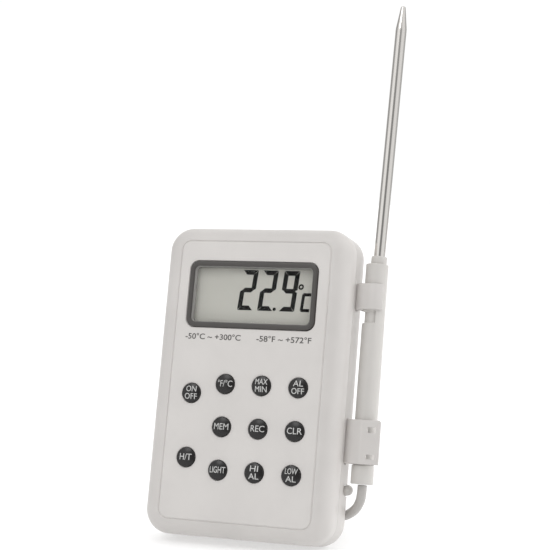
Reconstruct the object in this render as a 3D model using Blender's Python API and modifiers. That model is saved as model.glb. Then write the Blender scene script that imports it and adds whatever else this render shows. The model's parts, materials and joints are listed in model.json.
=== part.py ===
"""Digital probe thermometer: a leaning hand-held case with eleven keys and a display, a folding
tilt stand, a battery bay, and a steel probe whose handle lifts out of two clips on the case.

Sizes are millimetres in the constants and in the builders' arguments; objects are in metres.
The case is drawn upright in its own frame: X to the right, Y into the case (front face at
-CASE_DEPTH, rear face at 0) and Z up the face. An empty then leans that frame back.
"""
import math

import bmesh
import bpy
from mathutils import Matrix, Vector

MM = 0.001
GAP = 0.3                      # clearance between neighbouring pieces

CASE_WIDTH, CASE_DEPTH, CASE_HEIGHT = 68.4, 19.4, 108.3
CORNER_RADIUS, FRONT_RADIUS, REAR_RADIUS = 8.6, 5.7, 1.9
WALL, FRONT_WALL = 1.8, 2.5
SPLIT_Y = -10.0                # where the two shells meet
LEAN = math.radians(13.73)

PANEL_WIDTH, PANEL_HEIGHT, PANEL_THICKNESS, PANEL_CORNER = 55.1, 97.0, 1.0, 3.2
MIDDLE_Z = CASE_HEIGHT / 2
FRONT_Y = -CASE_DEPTH
INNER_FRONT_Y = FRONT_Y + FRONT_WALL

DISPLAY_X, DISPLAY_Z = -0.15, MIDDLE_Z + 29.8
BEZEL_WIDTH, BEZEL_HEIGHT, BEZEL_RIM, BEZEL_PROUD = 47.4, 23.3, 1.7, 0.35
LCD_THICKNESS = 2.0

KEY_RADIUS, KEY_PROUD, KEY_TRAVEL, KEY_FLANGE = 3.42, 1.1, 0.8, 4.3
KEY_COLUMNS = (-7.0, 6.36, 19.71)
KEY_ROWS = (MIDDLE_Z - 1.57, MIDDLE_Z - 16.38, MIDDLE_Z - 31.19)
KEYS = {
    "key_units": (KEY_COLUMNS[0], KEY_ROWS[0]),
    "key_max_min": (KEY_COLUMNS[1], KEY_ROWS[0]),
    "key_alarm_off": (KEY_COLUMNS[2], KEY_ROWS[0]),
    "key_memory": (KEY_COLUMNS[0], KEY_ROWS[1]),
    "key_record": (KEY_COLUMNS[1], KEY_ROWS[1]),
    "key_clear": (KEY_COLUMNS[2], KEY_ROWS[1]),
    "key_light": (KEY_COLUMNS[0], KEY_ROWS[2]),
    "key_high_alarm": (KEY_COLUMNS[1], KEY_ROWS[2]),
    "key_low_alarm": (KEY_COLUMNS[2], KEY_ROWS[2]),
    "key_power": (-19.35, MIDDLE_Z - 5.26),
    "key_hold": (-19.2, MIDDLE_Z - 27.54),
}

BOARD_Y, BOARD_THICKNESS, BOARD_HALF_WIDTH, BOARD_LOW, BOARD_HIGH = -11.8, 1.6, 24.2, 17.2, 101.0
BOARD_SCREWS = ((-21.0, 64.0), (21.0, 64.0))
CASE_SCREWS = ((-28.4, 27.0), (28.4, 27.0), (-28.4, 97.0), (28.4, 97.0))
BOSS_RADIUS, SCREW_HEAD, SCREW_SHANK = 2.4, 2.1, 1.0

BATTERY_RADIUS, BATTERY_LENGTH, BATTERY_Y, BATTERY_Z = 5.25, 44.5, -8.6, 9.3
CRADLE_WALL = 1.0
CONTACT_X = 23.6
DOOR_HALF_WIDTH, DOOR_LOW, DOOR_HIGH, DOOR_THICKNESS = 25.0, 3.0, 17.4, 1.5
DOOR_PIN_RADIUS, DOOR_PIN_LENGTH = 0.5, 1.2

STAND_HALF_WIDTH, STAND_THICKNESS, STAND_LENGTH = 11.8, 2.2, 40.0
STAND_PIVOT_Y, STAND_PIVOT_Z, STAND_BARREL, STAND_PIN = -2.1, 21.6, 1.9, 0.75
TOE = 0.35                     # how far up the leg's end face the flat sole reaches
RECESS_DEPTH, RECESS_TOP, RECESS_WALL = 4.3, 65.5, 1.4

PROBE_X, PROBE_Y = 40.5, -5.8
STEM_RADIUS, STEM_BORE, STEM_TIP, STEM_TAPER, STEM_LOW = 2.0, 1.3, 192.15, 8.9, 89.0
TIP_RADIUS, TIP_ROUND = 0.9, 0.7
STEM_OFFSET, STEM_TILT = 0.45, math.radians(1.34)      # where it leaves the handle
COLLAR_RADIUS, COLLAR_LOW, COLLAR_HIGH = 2.75, 98.3, 100.75
HANDLE_RADIUS, HANDLE_TOP, HANDLE_LOW = 3.9, 98.0, 28.9
NECK_RADIUS, NECK_HIGH, NECK_LOW, NECK_FLAT = 3.1, 81.45, 77.15, 1.6
END_CAP_RADIUS, END_CAP_LOW = 3.85, 22.15
CLIP_INNER, CLIP_OUTER, CLIP_WEB = 4.3, 5.1, 1.6
UPPER_CLIP, LOWER_CLIP = (81.7, 90.7), (28.75, 43.75)
CLIP_FRONT = ((38.92, -10.68), (37.7, -10.6), (36.5, -10.35), (35.5, -9.85), (34.85, -9.2),
              (34.5, -8.4))    # from the band to the case's side
CLIP_LIP_END = 47.2
CLIP_WINDOWS = ((39.4, 41.4), (30.5, 32.1))

GLAND_X, GLAND_Y, GLAND_Z, GLAND_RADIUS, GLAND_LENGTH = 35.2, -4.0, 19.85, 1.8, 9.0
GLAND_DIRECTION = Vector((-0.5, 0.86, -0.06)).normalized()

CORD_RADIUS = 1.6
COIL_X, COIL_Y, COIL_MEAN_RADIUS, COIL_HALF_WIDTH, COIL_HEIGHT = -22.0, 57.0, 18.0, 4.8, 9.6
TIE_WIDTH, TIE_THICKNESS = 6.0, 0.5
COIL_LOW = TIE_THICKNESS + GAP + 0.1

SIN_LEAN, COS_LEAN = math.sin(LEAN), math.cos(LEAN)
FLOOR_DROP = REAR_RADIUS * (SIN_LEAN + COS_LEAN - 1)   # the rounded rear edge stands on the floor
MIDDLE_X = (CLIP_LIP_END - CASE_WIDTH / 2) / 2         # the origin is under the box's middle
PIVOT_HEIGHT = STAND_PIVOT_Z * COS_LEAN - STAND_PIVOT_Y * SIN_LEAN - FLOOR_DROP
STAND_SLOPE = math.asin(PIVOT_HEIGHT / STAND_LENGTH)   # the open leg's fall below the horizontal
FRONT_REACH = (FRONT_RADIUS - CASE_DEPTH) * COS_LEAN + FRONT_RADIUS * (SIN_LEAN - 1)
TIP_REACH = (STEM_TIP - TIP_ROUND) * SIN_LEAN + (PROBE_Y + TIP_RADIUS) * COS_LEAN

# The cord's route, in millimetres from the finished origin.
ROUTE_FROM_CASE = ((24.03, -3.02, 17.39), (20.8, 1.5, 15.9), (17.4, 6.4, 12.9), (14.3, 11.4, 9.3),
                   (11.9, 16.6, 5.6), (9.9, 22.2, 2.7), (7.6, 27.5, 1.75), (3.0, 31.4, 1.75),
                   (-3.0, 33.4, 1.75), (-9.5, 34.8, 1.75))
ROUTE_TO_PROBE = ((1.7, 47.2, 2.6), (3.9, 43.0, 1.8), (6.7, 38.4, 1.75), (9.4, 33.2, 1.75),
                  (11.9, 27.5, 1.75), (14.1, 21.8, 1.95), (16.1, 16.6, 2.7), (17.9, 11.6, 3.9),
                  (19.4, 7.0, 5.2), (20.91, 3.62, 6.96), (22.73, -0.81, 8.36),
                  (24.6, -3.56, 9.09), (27.61, -6.85, 10.47), (31.38, -10.46, 13.45),
                  (33.45, -11.92, 16.63), (34.15, -12.3, 19.6), (34.3, -11.96, 22.2))

MATERIALS = {
    "case_plastic": ((0.66, 0.63, 0.61), 0.45, 0.0),
    "panel_plastic": ((0.68, 0.66, 0.63), 0.4, 0.0),
    "bezel_plastic": ((0.09, 0.085, 0.08), 0.4, 0.0),
    "clear_plastic": ((0.8, 0.82, 0.8), 0.05, 0.0),
    "lcd_glass": ((0.46, 0.45, 0.41), 0.3, 0.0),
    "diffuser": ((0.85, 0.87, 0.8), 0.4, 0.0),
    "black_rubber": ((0.02, 0.02, 0.02), 0.7, 0.0),
    "grey_rubber": ((0.3, 0.3, 0.3), 0.7, 0.0),
    "circuit_board": ((0.02, 0.18, 0.07), 0.5, 0.0),
    "key_plastic": ((0.02, 0.018, 0.017), 0.25, 0.0),
    "steel": ((0.62, 0.61, 0.6), 0.2, 1.0),
    "brass": ((0.7, 0.5, 0.2), 0.3, 1.0),
    "battery_sleeve": ((0.1, 0.12, 0.2), 0.35, 0.0),
    "cord_jacket": ((0.5, 0.48, 0.46), 0.5, 0.0),
}


def fresh_collection(name):
    collection = bpy.data.collections.new(name)
    bpy.context.scene.collection.children.link(collection)
    return collection


def make_materials():
    made = {}
    for name, (colour, roughness, metallic) in MATERIALS.items():
        material = bpy.data.materials.new(name)
        material.use_nodes = True
        shader = material.node_tree.nodes["Principled BSDF"]
        shader.inputs["Base Color"].default_value = (*colour, 1.0)
        shader.inputs["Roughness"].default_value = roughness
        shader.inputs["Metallic"].default_value = metallic
        made[name] = material
    return made


def clear_scene():
    for obj in list(bpy.data.objects):
        bpy.data.objects.remove(obj, do_unlink=True)


clear_scene()
PARTS = fresh_collection("darkroom_thermometer")
CUTTERS = fresh_collection("cutters")
MATERIAL = make_materials()


# ---------------------------------------------------------------- builders

def millimetres(values):
    return Vector(values) * MM


def new_object(name, data, material=None, parent=None, location=(0, 0, 0), rotation=(0, 0, 0)):
    """A part when it has a material, otherwise a cutter."""
    obj = bpy.data.objects.new(name, data)
    (PARTS if material else CUTTERS).objects.link(obj)
    if material:
        if not data.materials:
            data.materials.append(MATERIAL[material])
    else:
        obj.hide_render = True
        obj.display_type = "WIRE"
    obj.parent = parent
    obj.location = millimetres(location)
    obj.rotation_euler = rotation
    return obj


def smooth(mesh, angle=math.radians(35)):
    mesh.shade_smooth()
    mesh.set_sharp_from_angle(angle=angle)


def mesh_of(bm, name):
    bmesh.ops.recalc_face_normals(bm, faces=bm.faces)
    mesh = bpy.data.meshes.new(name)
    bm.to_mesh(mesh)
    bm.free()
    smooth(mesh)
    return mesh


def add_box(bm, low, high):
    """A box between two corners; returns its new vertices."""
    size = Vector(high) - Vector(low)
    centre = (Vector(high) + Vector(low)) / 2
    matrix = Matrix.Translation(centre * MM) @ Matrix.Diagonal((*(size * MM), 1))
    return bmesh.ops.create_cube(bm, size=1, matrix=matrix)["verts"]


def add_rod(bm, radius, start, end, sides=24, end_radius=None):
    """A cylinder or cone between two points."""
    start, end = Vector(start), Vector(end)
    turn = (end - start).to_track_quat("Z", "Y").to_matrix().to_4x4()
    matrix = Matrix.Translation((start + end) / 2 * MM) @ turn
    top = radius if end_radius is None else end_radius
    bmesh.ops.create_cone(bm, cap_ends=True, segments=sides, radius1=radius * MM,
                          radius2=top * MM, depth=(end - start).length * MM, matrix=matrix)


def rounded_mesh(name, low, high, corner, front=0.0, rear=0.0, corner_segments=6):
    """A slab whose four depth-wise edges, and then its front and rear rims, are rounded."""
    bm = bmesh.new()
    add_box(bm, low, high)
    along_y = [edge for edge in bm.edges
               if abs(edge.verts[0].co.y - edge.verts[1].co.y) > abs(high[1] - low[1]) * MM / 2]
    bmesh.ops.bevel(bm, geom=along_y, offset=corner * MM, segments=corner_segments,
                    profile=0.5, affect="EDGES")
    for radius, level, segments in ((front, low[1], 5), (rear, high[1], 3)):
        if radius:
            rim = [edge for edge in bm.edges
                   if all(abs(vert.co.y - level * MM) < 1e-6 for vert in edge.verts)]
            bmesh.ops.bevel(bm, geom=rim, offset=radius * MM, segments=segments,
                            profile=0.5, affect="EDGES")
    return mesh_of(bm, name)


def boxes_mesh(name, boxes):
    bm = bmesh.new()
    for low, high in boxes:
        add_box(bm, low, high)
    return mesh_of(bm, name)


def rods_mesh(name, rods, sides=24):
    bm = bmesh.new()
    for radius, start, end in rods:
        add_rod(bm, radius, start, end, sides)
    return mesh_of(bm, name)


def outline_mesh(name, outline, low, high, to_xyz):
    """A flat outline, given as (u, v) pairs, extruded from low to high along its normal."""
    curve = bpy.data.curves.new(name, "CURVE")
    curve.dimensions = "2D"
    curve.fill_mode = "BOTH"
    curve.extrude = (high - low) / 2 * MM
    spline = curve.splines.new("POLY")
    spline.points.add(len(outline) - 1)
    for point, (u, v) in zip(spline.points, outline):
        point.co = (u * MM, v * MM, 0, 1)
    spline.use_cyclic_u = True
    guide = bpy.data.objects.new(name, curve)
    CUTTERS.objects.link(guide)
    mesh = bpy.data.meshes.new_from_object(guide.evaluated_get(bpy.context.evaluated_depsgraph_get()))
    bpy.data.objects.remove(guide)
    bm = bmesh.new()
    bm.from_mesh(mesh)
    bpy.data.meshes.remove(mesh)
    bmesh.ops.remove_doubles(bm, verts=bm.verts, dist=1e-6)
    middle = (low + high) / 2 * MM
    for vert in bm.verts:
        vert.co = to_xyz(vert.co.x, vert.co.y, vert.co.z + middle)
    return mesh_of(bm, name)


def turned(name, profile, material, parent, location, rotation=(0, 0, 0), steps=28):
    """A profile of (radius, height) pairs, top to bottom on its outer side, turned about Z."""
    closed = profile[0] == profile[-1]
    points = profile[:-1] if closed else profile
    edges = [(i, i + 1) for i in range(len(points) - 1)]
    if closed:
        edges.append((len(points) - 1, 0))
    mesh = bpy.data.meshes.new(name)
    mesh.from_pydata([(r * MM, 0, z * MM) for r, z in points], edges, [])
    obj = new_object(name, mesh, material, parent, location, rotation)
    screw = obj.modifiers.new("Turn", "SCREW")
    screw.steps = screw.render_steps = steps
    screw.use_merge_vertices = True
    screw.merge_threshold = 0.00001
    screw.use_smooth_shade = True
    return obj


def boolean(obj, mesh, operation, parent):
    """Cuts a mesh out of an object or joins it on; the mesh is in the parent's frame."""
    tool = new_object(obj.name + "_" + mesh.name, mesh, None, parent)
    modifier = obj.modifiers.new(mesh.name, "BOOLEAN")
    modifier.operation = operation
    modifier.object = tool
    modifier.solver = "EXACT"
    return tool


def arc(centre, radius, start, end, count):
    """Points on an arc in degrees, both ends included."""
    angles = [math.radians(start + (end - start) * i / (count - 1)) for i in range(count)]
    return [(centre[0] + radius * math.cos(a), centre[1] + radius * math.sin(a)) for a in angles]


def smooth_route(points, spacing):
    """Evenly spaced points on the Catmull-Rom curve through a route's own points."""
    points = [Vector(p) for p in points]
    padded = [2 * points[0] - points[1], *points, 2 * points[-1] - points[-2]]
    dense = []
    for a, b, c, d in zip(padded, padded[1:], padded[2:], padded[3:]):
        for step in range(24):
            t = step / 24
            dense.append(0.5 * (2 * b + (c - a) * t + (2 * a - 5 * b + 4 * c - d) * t ** 2
                                + (3 * b - a - 3 * c + d) * t ** 3))
    dense.append(points[-1])
    lengths = [0.0]
    for a, b in zip(dense, dense[1:]):
        lengths.append(lengths[-1] + (b - a).length)
    count = round(lengths[-1] / spacing)
    even, index = [], 0
    for step in range(count + 1):
        wanted = min(lengths[-1] * step / count, lengths[-1] - 1e-9)
        while lengths[index + 1] < wanted:
            index += 1
        share = (wanted - lengths[index]) / (lengths[index + 1] - lengths[index])
        even.append(dense[index].lerp(dense[index + 1], share))
    return even


def tube(name, points, radius, material, parent=None, resolution=2):
    curve = bpy.data.curves.new(name, "CURVE")
    curve.dimensions = "3D"
    curve.bevel_depth = radius * MM
    curve.bevel_resolution = resolution
    curve.use_fill_caps = True
    spline = curve.splines.new("POLY")
    spline.points.add(len(points) - 1)
    for point, co in zip(spline.points, points):
        point.co = (*millimetres(co), 1)
    return new_object(name, curve, material, parent)


# ---------------------------------------------------------------- frames

def empty(name, parent=None, location=(0, 0, 0), rotation=(0, 0, 0)):
    obj = bpy.data.objects.new(name, None)
    PARTS.objects.link(obj)
    obj.empty_display_size = 0.01
    obj.parent = parent
    obj.location = millimetres(location)
    obj.rotation_euler = rotation
    return obj


def case_blank(name, clearance, front_clearance):
    """The case's outside, or the same shape drawn in by the given clearances."""
    half = CASE_WIDTH / 2 - clearance
    return rounded_mesh(name, (-half, FRONT_Y + front_clearance, clearance),
                        (half, -clearance, CASE_HEIGHT - clearance),
                        CORNER_RADIUS - clearance, FRONT_RADIUS - clearance,
                        max(REAR_RADIUS - clearance, 0))


def bezel_block(name, width, height, front, rear, corner):
    return rounded_mesh(name, (DISPLAY_X - width / 2, front, DISPLAY_Z - height / 2),
                        (DISPLAY_X + width / 2, rear, DISPLAY_Z + height / 2), corner,
                        corner_segments=4)


# ---------------------------------------------------------------- case

def build_front_shell(frame):
    shell = new_object("front_shell", case_blank("front_shell", 0, 0), "case_plastic", frame)
    boolean(shell, boxes_mesh("rear_half", [((-60, SPLIT_Y, -20), (60, 20, 130))]),
            "DIFFERENCE", frame)
    boolean(shell, case_blank("inside", WALL, FRONT_WALL), "DIFFERENCE", frame)
    half, rise = PANEL_WIDTH / 2 + GAP, PANEL_HEIGHT / 2 + GAP
    boolean(shell, rounded_mesh("panel_pocket", (-half, FRONT_Y - 1, MIDDLE_Z - rise),
                                (half, FRONT_Y + PANEL_THICKNESS + GAP, MIDDLE_Z + rise),
                                PANEL_CORNER + GAP), "DIFFERENCE", frame)
    boolean(shell, bezel_block("display_opening", BEZEL_WIDTH - 1.4, BEZEL_HEIGHT - 1.4,
                               FRONT_Y - 1, INNER_FRONT_Y + 1, 2.4), "DIFFERENCE", frame)
    boolean(shell, rods_mesh("key_holes", [(KEY_RADIUS + GAP, (x, FRONT_Y - 1, z),
                                            (x, INNER_FRONT_Y + 1, z))
                                           for x, z in KEYS.values()], 16), "DIFFERENCE", frame)
    bosses = [(BOSS_RADIUS, (x, INNER_FRONT_Y - 0.4, z), (x, SPLIT_Y - 0.001, z))
              for x, z in CASE_SCREWS]
    bosses += [(BOSS_RADIUS - 0.2, (x, INNER_FRONT_Y - 0.4, z), (x, BOARD_Y - GAP, z))
               for x, z in BOARD_SCREWS]
    boolean(shell, rods_mesh("bosses", bosses, 20), "UNION", frame)
    pilots = [(SCREW_SHANK + GAP, (x, -15.6, z), (x, 0, z)) for x, z in CASE_SCREWS + BOARD_SCREWS]
    boolean(shell, rods_mesh("pilot_holes", pilots, 16), "DIFFERENCE", frame)
    return shell


def build_rear_shell(frame):
    shell = new_object("rear_shell", case_blank("rear_shell", 0, 0), "case_plastic", frame)
    boolean(shell, boxes_mesh("front_half", [((-60, -40, -20), (60, SPLIT_Y + GAP, 130))]),
            "DIFFERENCE", frame)
    boolean(shell, case_blank("inside", WALL, FRONT_WALL), "DIFFERENCE", frame)

    recess_low = STAND_PIVOT_Z - STAND_BARREL - GAP
    wide = STAND_HALF_WIDTH + GAP
    body = wide + RECESS_WALL + 0.8
    boolean(shell, boxes_mesh("recess_body", [((-body, -RECESS_DEPTH - RECESS_WALL,
                                                recess_low - RECESS_WALL),
                                               (body, -1.0, RECESS_TOP + RECESS_WALL))]),
            "UNION", frame)
    bosses = [(BOSS_RADIUS, (x, SPLIT_Y + GAP + 0.001, z), (x, -1.0, z)) for x, z in CASE_SCREWS]
    boolean(shell, rods_mesh("bosses", bosses, 20), "UNION", frame)
    boolean(shell, boxes_mesh("recess", [((-wide, -RECESS_DEPTH, recess_low),
                                          (wide, 1, RECESS_TOP))]), "DIFFERENCE", frame)
    pin = STAND_PIN + GAP
    boolean(shell, rods_mesh("pin_holes", [(pin, (-wide - 1.3, STAND_PIVOT_Y, STAND_PIVOT_Z),
                                            (wide + 1.3, STAND_PIVOT_Y, STAND_PIVOT_Z))], 16),
            "DIFFERENCE", frame)
    heads = [(SCREW_HEAD + GAP, (x, -1.9, z), (x, 1, z)) for x, z in CASE_SCREWS]
    shanks = [(SCREW_SHANK + GAP, (x, SPLIT_Y - 1, z), (x, -1, z)) for x, z in CASE_SCREWS]
    boolean(shell, rods_mesh("screw_heads", heads, 20), "DIFFERENCE", frame)
    boolean(shell, rods_mesh("screw_shanks", shanks, 16), "DIFFERENCE", frame)

    side = DOOR_HALF_WIDTH + GAP
    boolean(shell, boxes_mesh("door_opening", [((-side, -3, DOOR_LOW - GAP),
                                                (side, 1, DOOR_HIGH + GAP))]),
            "DIFFERENCE", frame)
    axis_z = DOOR_LOW + DOOR_THICKNESS / 2
    reach = side + DOOR_PIN_LENGTH
    boolean(shell, rods_mesh("door_pin_holes", [(DOOR_PIN_RADIUS + GAP, (-reach, -0.9, axis_z),
                                                 (reach, -0.9, axis_z))], 12),
            "DIFFERENCE", frame)

    start = Vector((GLAND_X, GLAND_Y, GLAND_Z))
    channel = rods_mesh("gland_channel", [(GLAND_RADIUS + GAP, start - GLAND_DIRECTION * 0.4,
                                           start + GLAND_DIRECTION * 12)], 20)
    boolean(shell, channel, "DIFFERENCE", frame)
    ball = bmesh.new()
    bmesh.ops.create_uvsphere(ball, u_segments=20, v_segments=12,
                              radius=(GLAND_RADIUS + GAP) * MM,
                              matrix=Matrix.Translation(start * MM))
    boolean(shell, mesh_of(ball, "gland_ball"), "DIFFERENCE", frame)

    half = CLIP_WEB / 2 + GAP
    slots = [((CASE_WIDTH / 2 - 3.5, PROBE_Y - half - 0.4, low - GAP),
              (CASE_WIDTH / 2 + 2, PROBE_Y + half - 0.4, high + GAP))
             for low, high in (UPPER_CLIP, LOWER_CLIP)]
    boolean(shell, boxes_mesh("clip_slots", slots), "DIFFERENCE", frame)
    return shell


def build_face(frame):
    half, rise = PANEL_WIDTH / 2, PANEL_HEIGHT / 2
    panel = new_object("face_panel",
                       rounded_mesh("face_panel", (-half, FRONT_Y, MIDDLE_Z - rise),
                                    (half, FRONT_Y + PANEL_THICKNESS, MIDDLE_Z + rise),
                                    PANEL_CORNER), "panel_plastic", frame)
    boolean(panel, bezel_block("display_opening", BEZEL_WIDTH + 2 * GAP, BEZEL_HEIGHT + 2 * GAP,
                               FRONT_Y - 1, FRONT_Y + 3, 3.3), "DIFFERENCE", frame)
    boolean(panel, rods_mesh("key_holes", [(KEY_RADIUS + GAP, (x, FRONT_Y - 1, z),
                                            (x, FRONT_Y + 3, z)) for x, z in KEYS.values()]),
            "DIFFERENCE", frame)


def build_display(frame):
    ring_rear = FRONT_Y + PANEL_THICKNESS
    bezel = new_object("display_bezel",
                       bezel_block("display_bezel", BEZEL_WIDTH, BEZEL_HEIGHT,
                                   FRONT_Y - BEZEL_PROUD, ring_rear, 3.0), "bezel_plastic", frame)
    boolean(bezel, bezel_block("sleeve", BEZEL_WIDTH - 2, BEZEL_HEIGHT - 2,
                               ring_rear - 0.2, INNER_FRONT_Y, 2.1), "UNION", frame)
    view_width, view_height = BEZEL_WIDTH - 2 * BEZEL_RIM, BEZEL_HEIGHT - 2 * BEZEL_RIM
    boolean(bezel, bezel_block("view", view_width, view_height, FRONT_Y - 2,
                               INNER_FRONT_Y + 2, 1.5), "DIFFERENCE", frame)
    new_object("display_window",
               bezel_block("display_window", view_width - 2 * GAP, view_height - 2 * GAP,
                           INNER_FRONT_Y - 0.9, INNER_FRONT_Y - 0.3, 1.2), "clear_plastic", frame)
    lcd_front = INNER_FRONT_Y + GAP
    lcd_rear = lcd_front + LCD_THICKNESS
    new_object("lcd_cell", bezel_block("lcd_cell", 46, 22, lcd_front, lcd_rear, 0.4),
               "lcd_glass", frame)
    holder = new_object("lcd_holder", bezel_block("lcd_holder", 48.8, 24.8, lcd_front,
                                                  BOARD_Y - GAP, 0.8), "diffuser", frame)
    boolean(holder, bezel_block("seat", 46.6, 22.6, lcd_front - 1, 0, 0.6), "DIFFERENCE", frame)
    light_front = lcd_rear + GAP
    light = ((DISPLAY_X - 22.5, light_front, DISPLAY_Z - 8.4),
             (DISPLAY_X + 22.5, light_front + 1.6, DISPLAY_Z + 10.7))
    new_object("backlight_plate", boxes_mesh("backlight_plate", [light]), "diffuser", frame)
    strip = ((DISPLAY_X - 22.0, light_front, DISPLAY_Z - 10.6),
             (DISPLAY_X + 22.0, BOARD_Y - GAP, DISPLAY_Z - 8.9))
    new_object("contact_strip", boxes_mesh("contact_strip", [strip]), "grey_rubber", frame)


def build_keys(frame):
    """Domed caps, each on an axis that points out of the face."""
    flange_front = FRONT_WALL + GAP
    profile = [(0.0, KEY_PROUD), (KEY_RADIUS * 0.5, KEY_PROUD - 0.08),
               (KEY_RADIUS * 0.82, KEY_PROUD - 0.24), (KEY_RADIUS, KEY_PROUD - 0.6),
               (KEY_RADIUS, -flange_front), (KEY_FLANGE, -flange_front),
               (KEY_FLANGE, -flange_front - 0.9), (0.0, -flange_front - 0.9)]
    for name, (x, z) in KEYS.items():
        turned(name, profile, "key_plastic", frame, (x, FRONT_Y, z), (math.pi / 2, 0, 0), 20)


def build_board(frame):
    board_rear = BOARD_Y + BOARD_THICKNESS
    board = new_object("main_board",
                       boxes_mesh("main_board", [((-BOARD_HALF_WIDTH, BOARD_Y, BOARD_LOW),
                                                  (BOARD_HALF_WIDTH, board_rear, BOARD_HIGH))]),
                       "circuit_board", frame)
    holes = [(SCREW_SHANK + GAP, (x, -20, z), (x, 0, z)) for x, z in BOARD_SCREWS]
    boolean(board, rods_mesh("screw_holes", holes, 16), "DIFFERENCE", frame)

    key_back = FRONT_Y + FRONT_WALL + GAP + 0.9
    bump_front = key_back + KEY_TRAVEL + 0.15
    sheet_front, sheet_rear = bump_front + 0.9, BOARD_Y - GAP
    mat = new_object("keypad_mat", boxes_mesh("keypad_mat", [((-24.0, sheet_front, BOARD_LOW),
                                                              (24.0, sheet_rear, 58.5))]),
                     "black_rubber", frame)
    bumps = [(2.6, (x, sheet_front + 0.3, z), (x, bump_front, z)) for x, z in KEYS.values()]
    boolean(mat, rods_mesh("bumps", bumps, 12), "UNION", frame)

    blob = bmesh.new()
    bmesh.ops.create_uvsphere(blob, u_segments=20, v_segments=12, radius=6 * MM,
                              matrix=Matrix.Diagonal((1, 0.5, 1, 1)))
    bmesh.ops.bisect_plane(blob, geom=blob.verts[:] + blob.edges[:] + blob.faces[:],
                           plane_co=(0, 1 * MM, 0), plane_no=(0, -1, 0), clear_outer=True)
    rim = [edge for edge in blob.edges if edge.is_boundary]
    bmesh.ops.holes_fill(blob, edges=rim)
    new_object("controller_blob", mesh_of(blob, "controller_blob"), "black_rubber", frame,
               (0, board_rear + GAP - 1, 76))
    new_object("crystal", rods_mesh("crystal", [(1.5, (14, board_rear + 1.8, 70),
                                                 (14, board_rear + 1.8, 78))], 16),
               "steel", frame)
    new_object("piezo_buzzer", rods_mesh("piezo_buzzer", [(8.0, (-13, board_rear + GAP, 90),
                                                           (-13, board_rear + 3, 90))]),
               "brass", frame)


def screw(name, frame, x, z, head_y, reach):
    """A pan-head screw driven along -Y; head_y is the underside of its head."""
    profile = [(0.0, 1.1), (SCREW_HEAD * 0.7, 1.0), (SCREW_HEAD, 0.5), (SCREW_HEAD, 0.0),
               (SCREW_SHANK, 0.0), (SCREW_SHANK, 0.8 - reach), (0.0, -reach)]
    obj = turned(name, profile, "steel", frame, (x, head_y, z), (-math.pi / 2, 0, 0), 16)
    bm = bmesh.new()
    add_box(bm, (-0.3, -SCREW_HEAD * 0.62, 0.55), (0.3, SCREW_HEAD * 0.62, 2))
    cross = mesh_of(bm, "slot")
    tool = boolean(obj, cross, "DIFFERENCE", frame)
    tool.location = millimetres((x, head_y, z))
    tool.rotation_euler = (-math.pi / 2, 0, 0)


def build_screws(frame):
    for number, (x, z) in enumerate(CASE_SCREWS, 1):
        screw(f"case_screw_{number}", frame, x, z, -1.6, 10.5)
    for number, (x, z) in enumerate(BOARD_SCREWS, 1):
        screw(f"board_screw_{number}", frame, x, z, BOARD_Y + BOARD_THICKNESS + GAP, 5.0)


def build_battery_bay(frame):
    inner = BATTERY_RADIUS + GAP
    outer = inner + CRADLE_WALL
    end = CONTACT_X + 1.6
    cradle = new_object("battery_cradle",
                        boxes_mesh("battery_cradle", [((-end - 1, BATTERY_Y - outer, BATTERY_Z - outer),
                                                       (end + 1, -2.4, BATTERY_Z + outer))]),
                        "case_plastic", frame)
    boolean(cradle, boxes_mesh("bay", [((-end, BATTERY_Y - inner, BATTERY_Z - inner),
                                        (end, 1, BATTERY_Z + inner))]), "DIFFERENCE", frame)
    half = BATTERY_LENGTH / 2
    battery = new_object("battery", rods_mesh("battery", [(BATTERY_RADIUS,
                                                           (-half, BATTERY_Y, BATTERY_Z),
                                                           (half - 1, BATTERY_Y, BATTERY_Z))]),
                         "battery_sleeve", frame)
    boolean(battery, rods_mesh("positive_cap", [(1.9, (half - 2, BATTERY_Y, BATTERY_Z),
                                                 (half, BATTERY_Y, BATTERY_Z))], 16),
            "UNION", frame)
    plate = ((CONTACT_X - 0.2, BATTERY_Y - 4, BATTERY_Z - 4),
             (CONTACT_X + 0.2, BATTERY_Y + 4, BATTERY_Z + 4))
    new_object("positive_contact", boxes_mesh("positive_contact", [plate]), "steel", frame)
    turns, per_turn, first = 2.5, 12, -half - GAP - 0.35
    points = []
    for step in range(int(turns * per_turn) + 1):
        share = step / (turns * per_turn)
        angle = 2 * math.pi * turns * share
        radius = 2.0 + 1.6 * share
        points.append((first - 1.9 * share, BATTERY_Y + radius * math.cos(angle),
                       BATTERY_Z + radius * math.sin(angle)))
    tube("negative_spring", points, 0.3, "steel", frame, 1)


def build_door(frame):
    """The battery door turns on two pins near its lower edge."""
    half = DOOR_THICKNESS / 2
    axis_y, axis_z = -0.9, DOOR_LOW + half
    hinge = empty("battery_door_axis", frame, (0, axis_y, axis_z))
    rim = 0.9
    height = DOOR_HIGH - axis_z
    outline = arc((0, 0), half, 180, 360, 7)
    outline += [(rim, 0.9), (rim, height), (rim - DOOR_THICKNESS, height),
                (rim - DOOR_THICKNESS, 0.9)]
    mesh = outline_mesh("battery_door", outline, -DOOR_HALF_WIDTH, DOOR_HALF_WIDTH,
                        lambda u, v, w: Vector((w, u, v)))
    door = new_object("battery_door", mesh, "case_plastic", hinge)
    reach = DOOR_HALF_WIDTH + DOOR_PIN_LENGTH
    pins = [(DOOR_PIN_RADIUS, (-reach, 0, 0), (-DOOR_HALF_WIDTH + 2, 0, 0)),
            (DOOR_PIN_RADIUS, (DOOR_HALF_WIDTH - 2, 0, 0), (reach, 0, 0))]
    boolean(door, rods_mesh("pins", pins, 12), "UNION", hinge)


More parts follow.
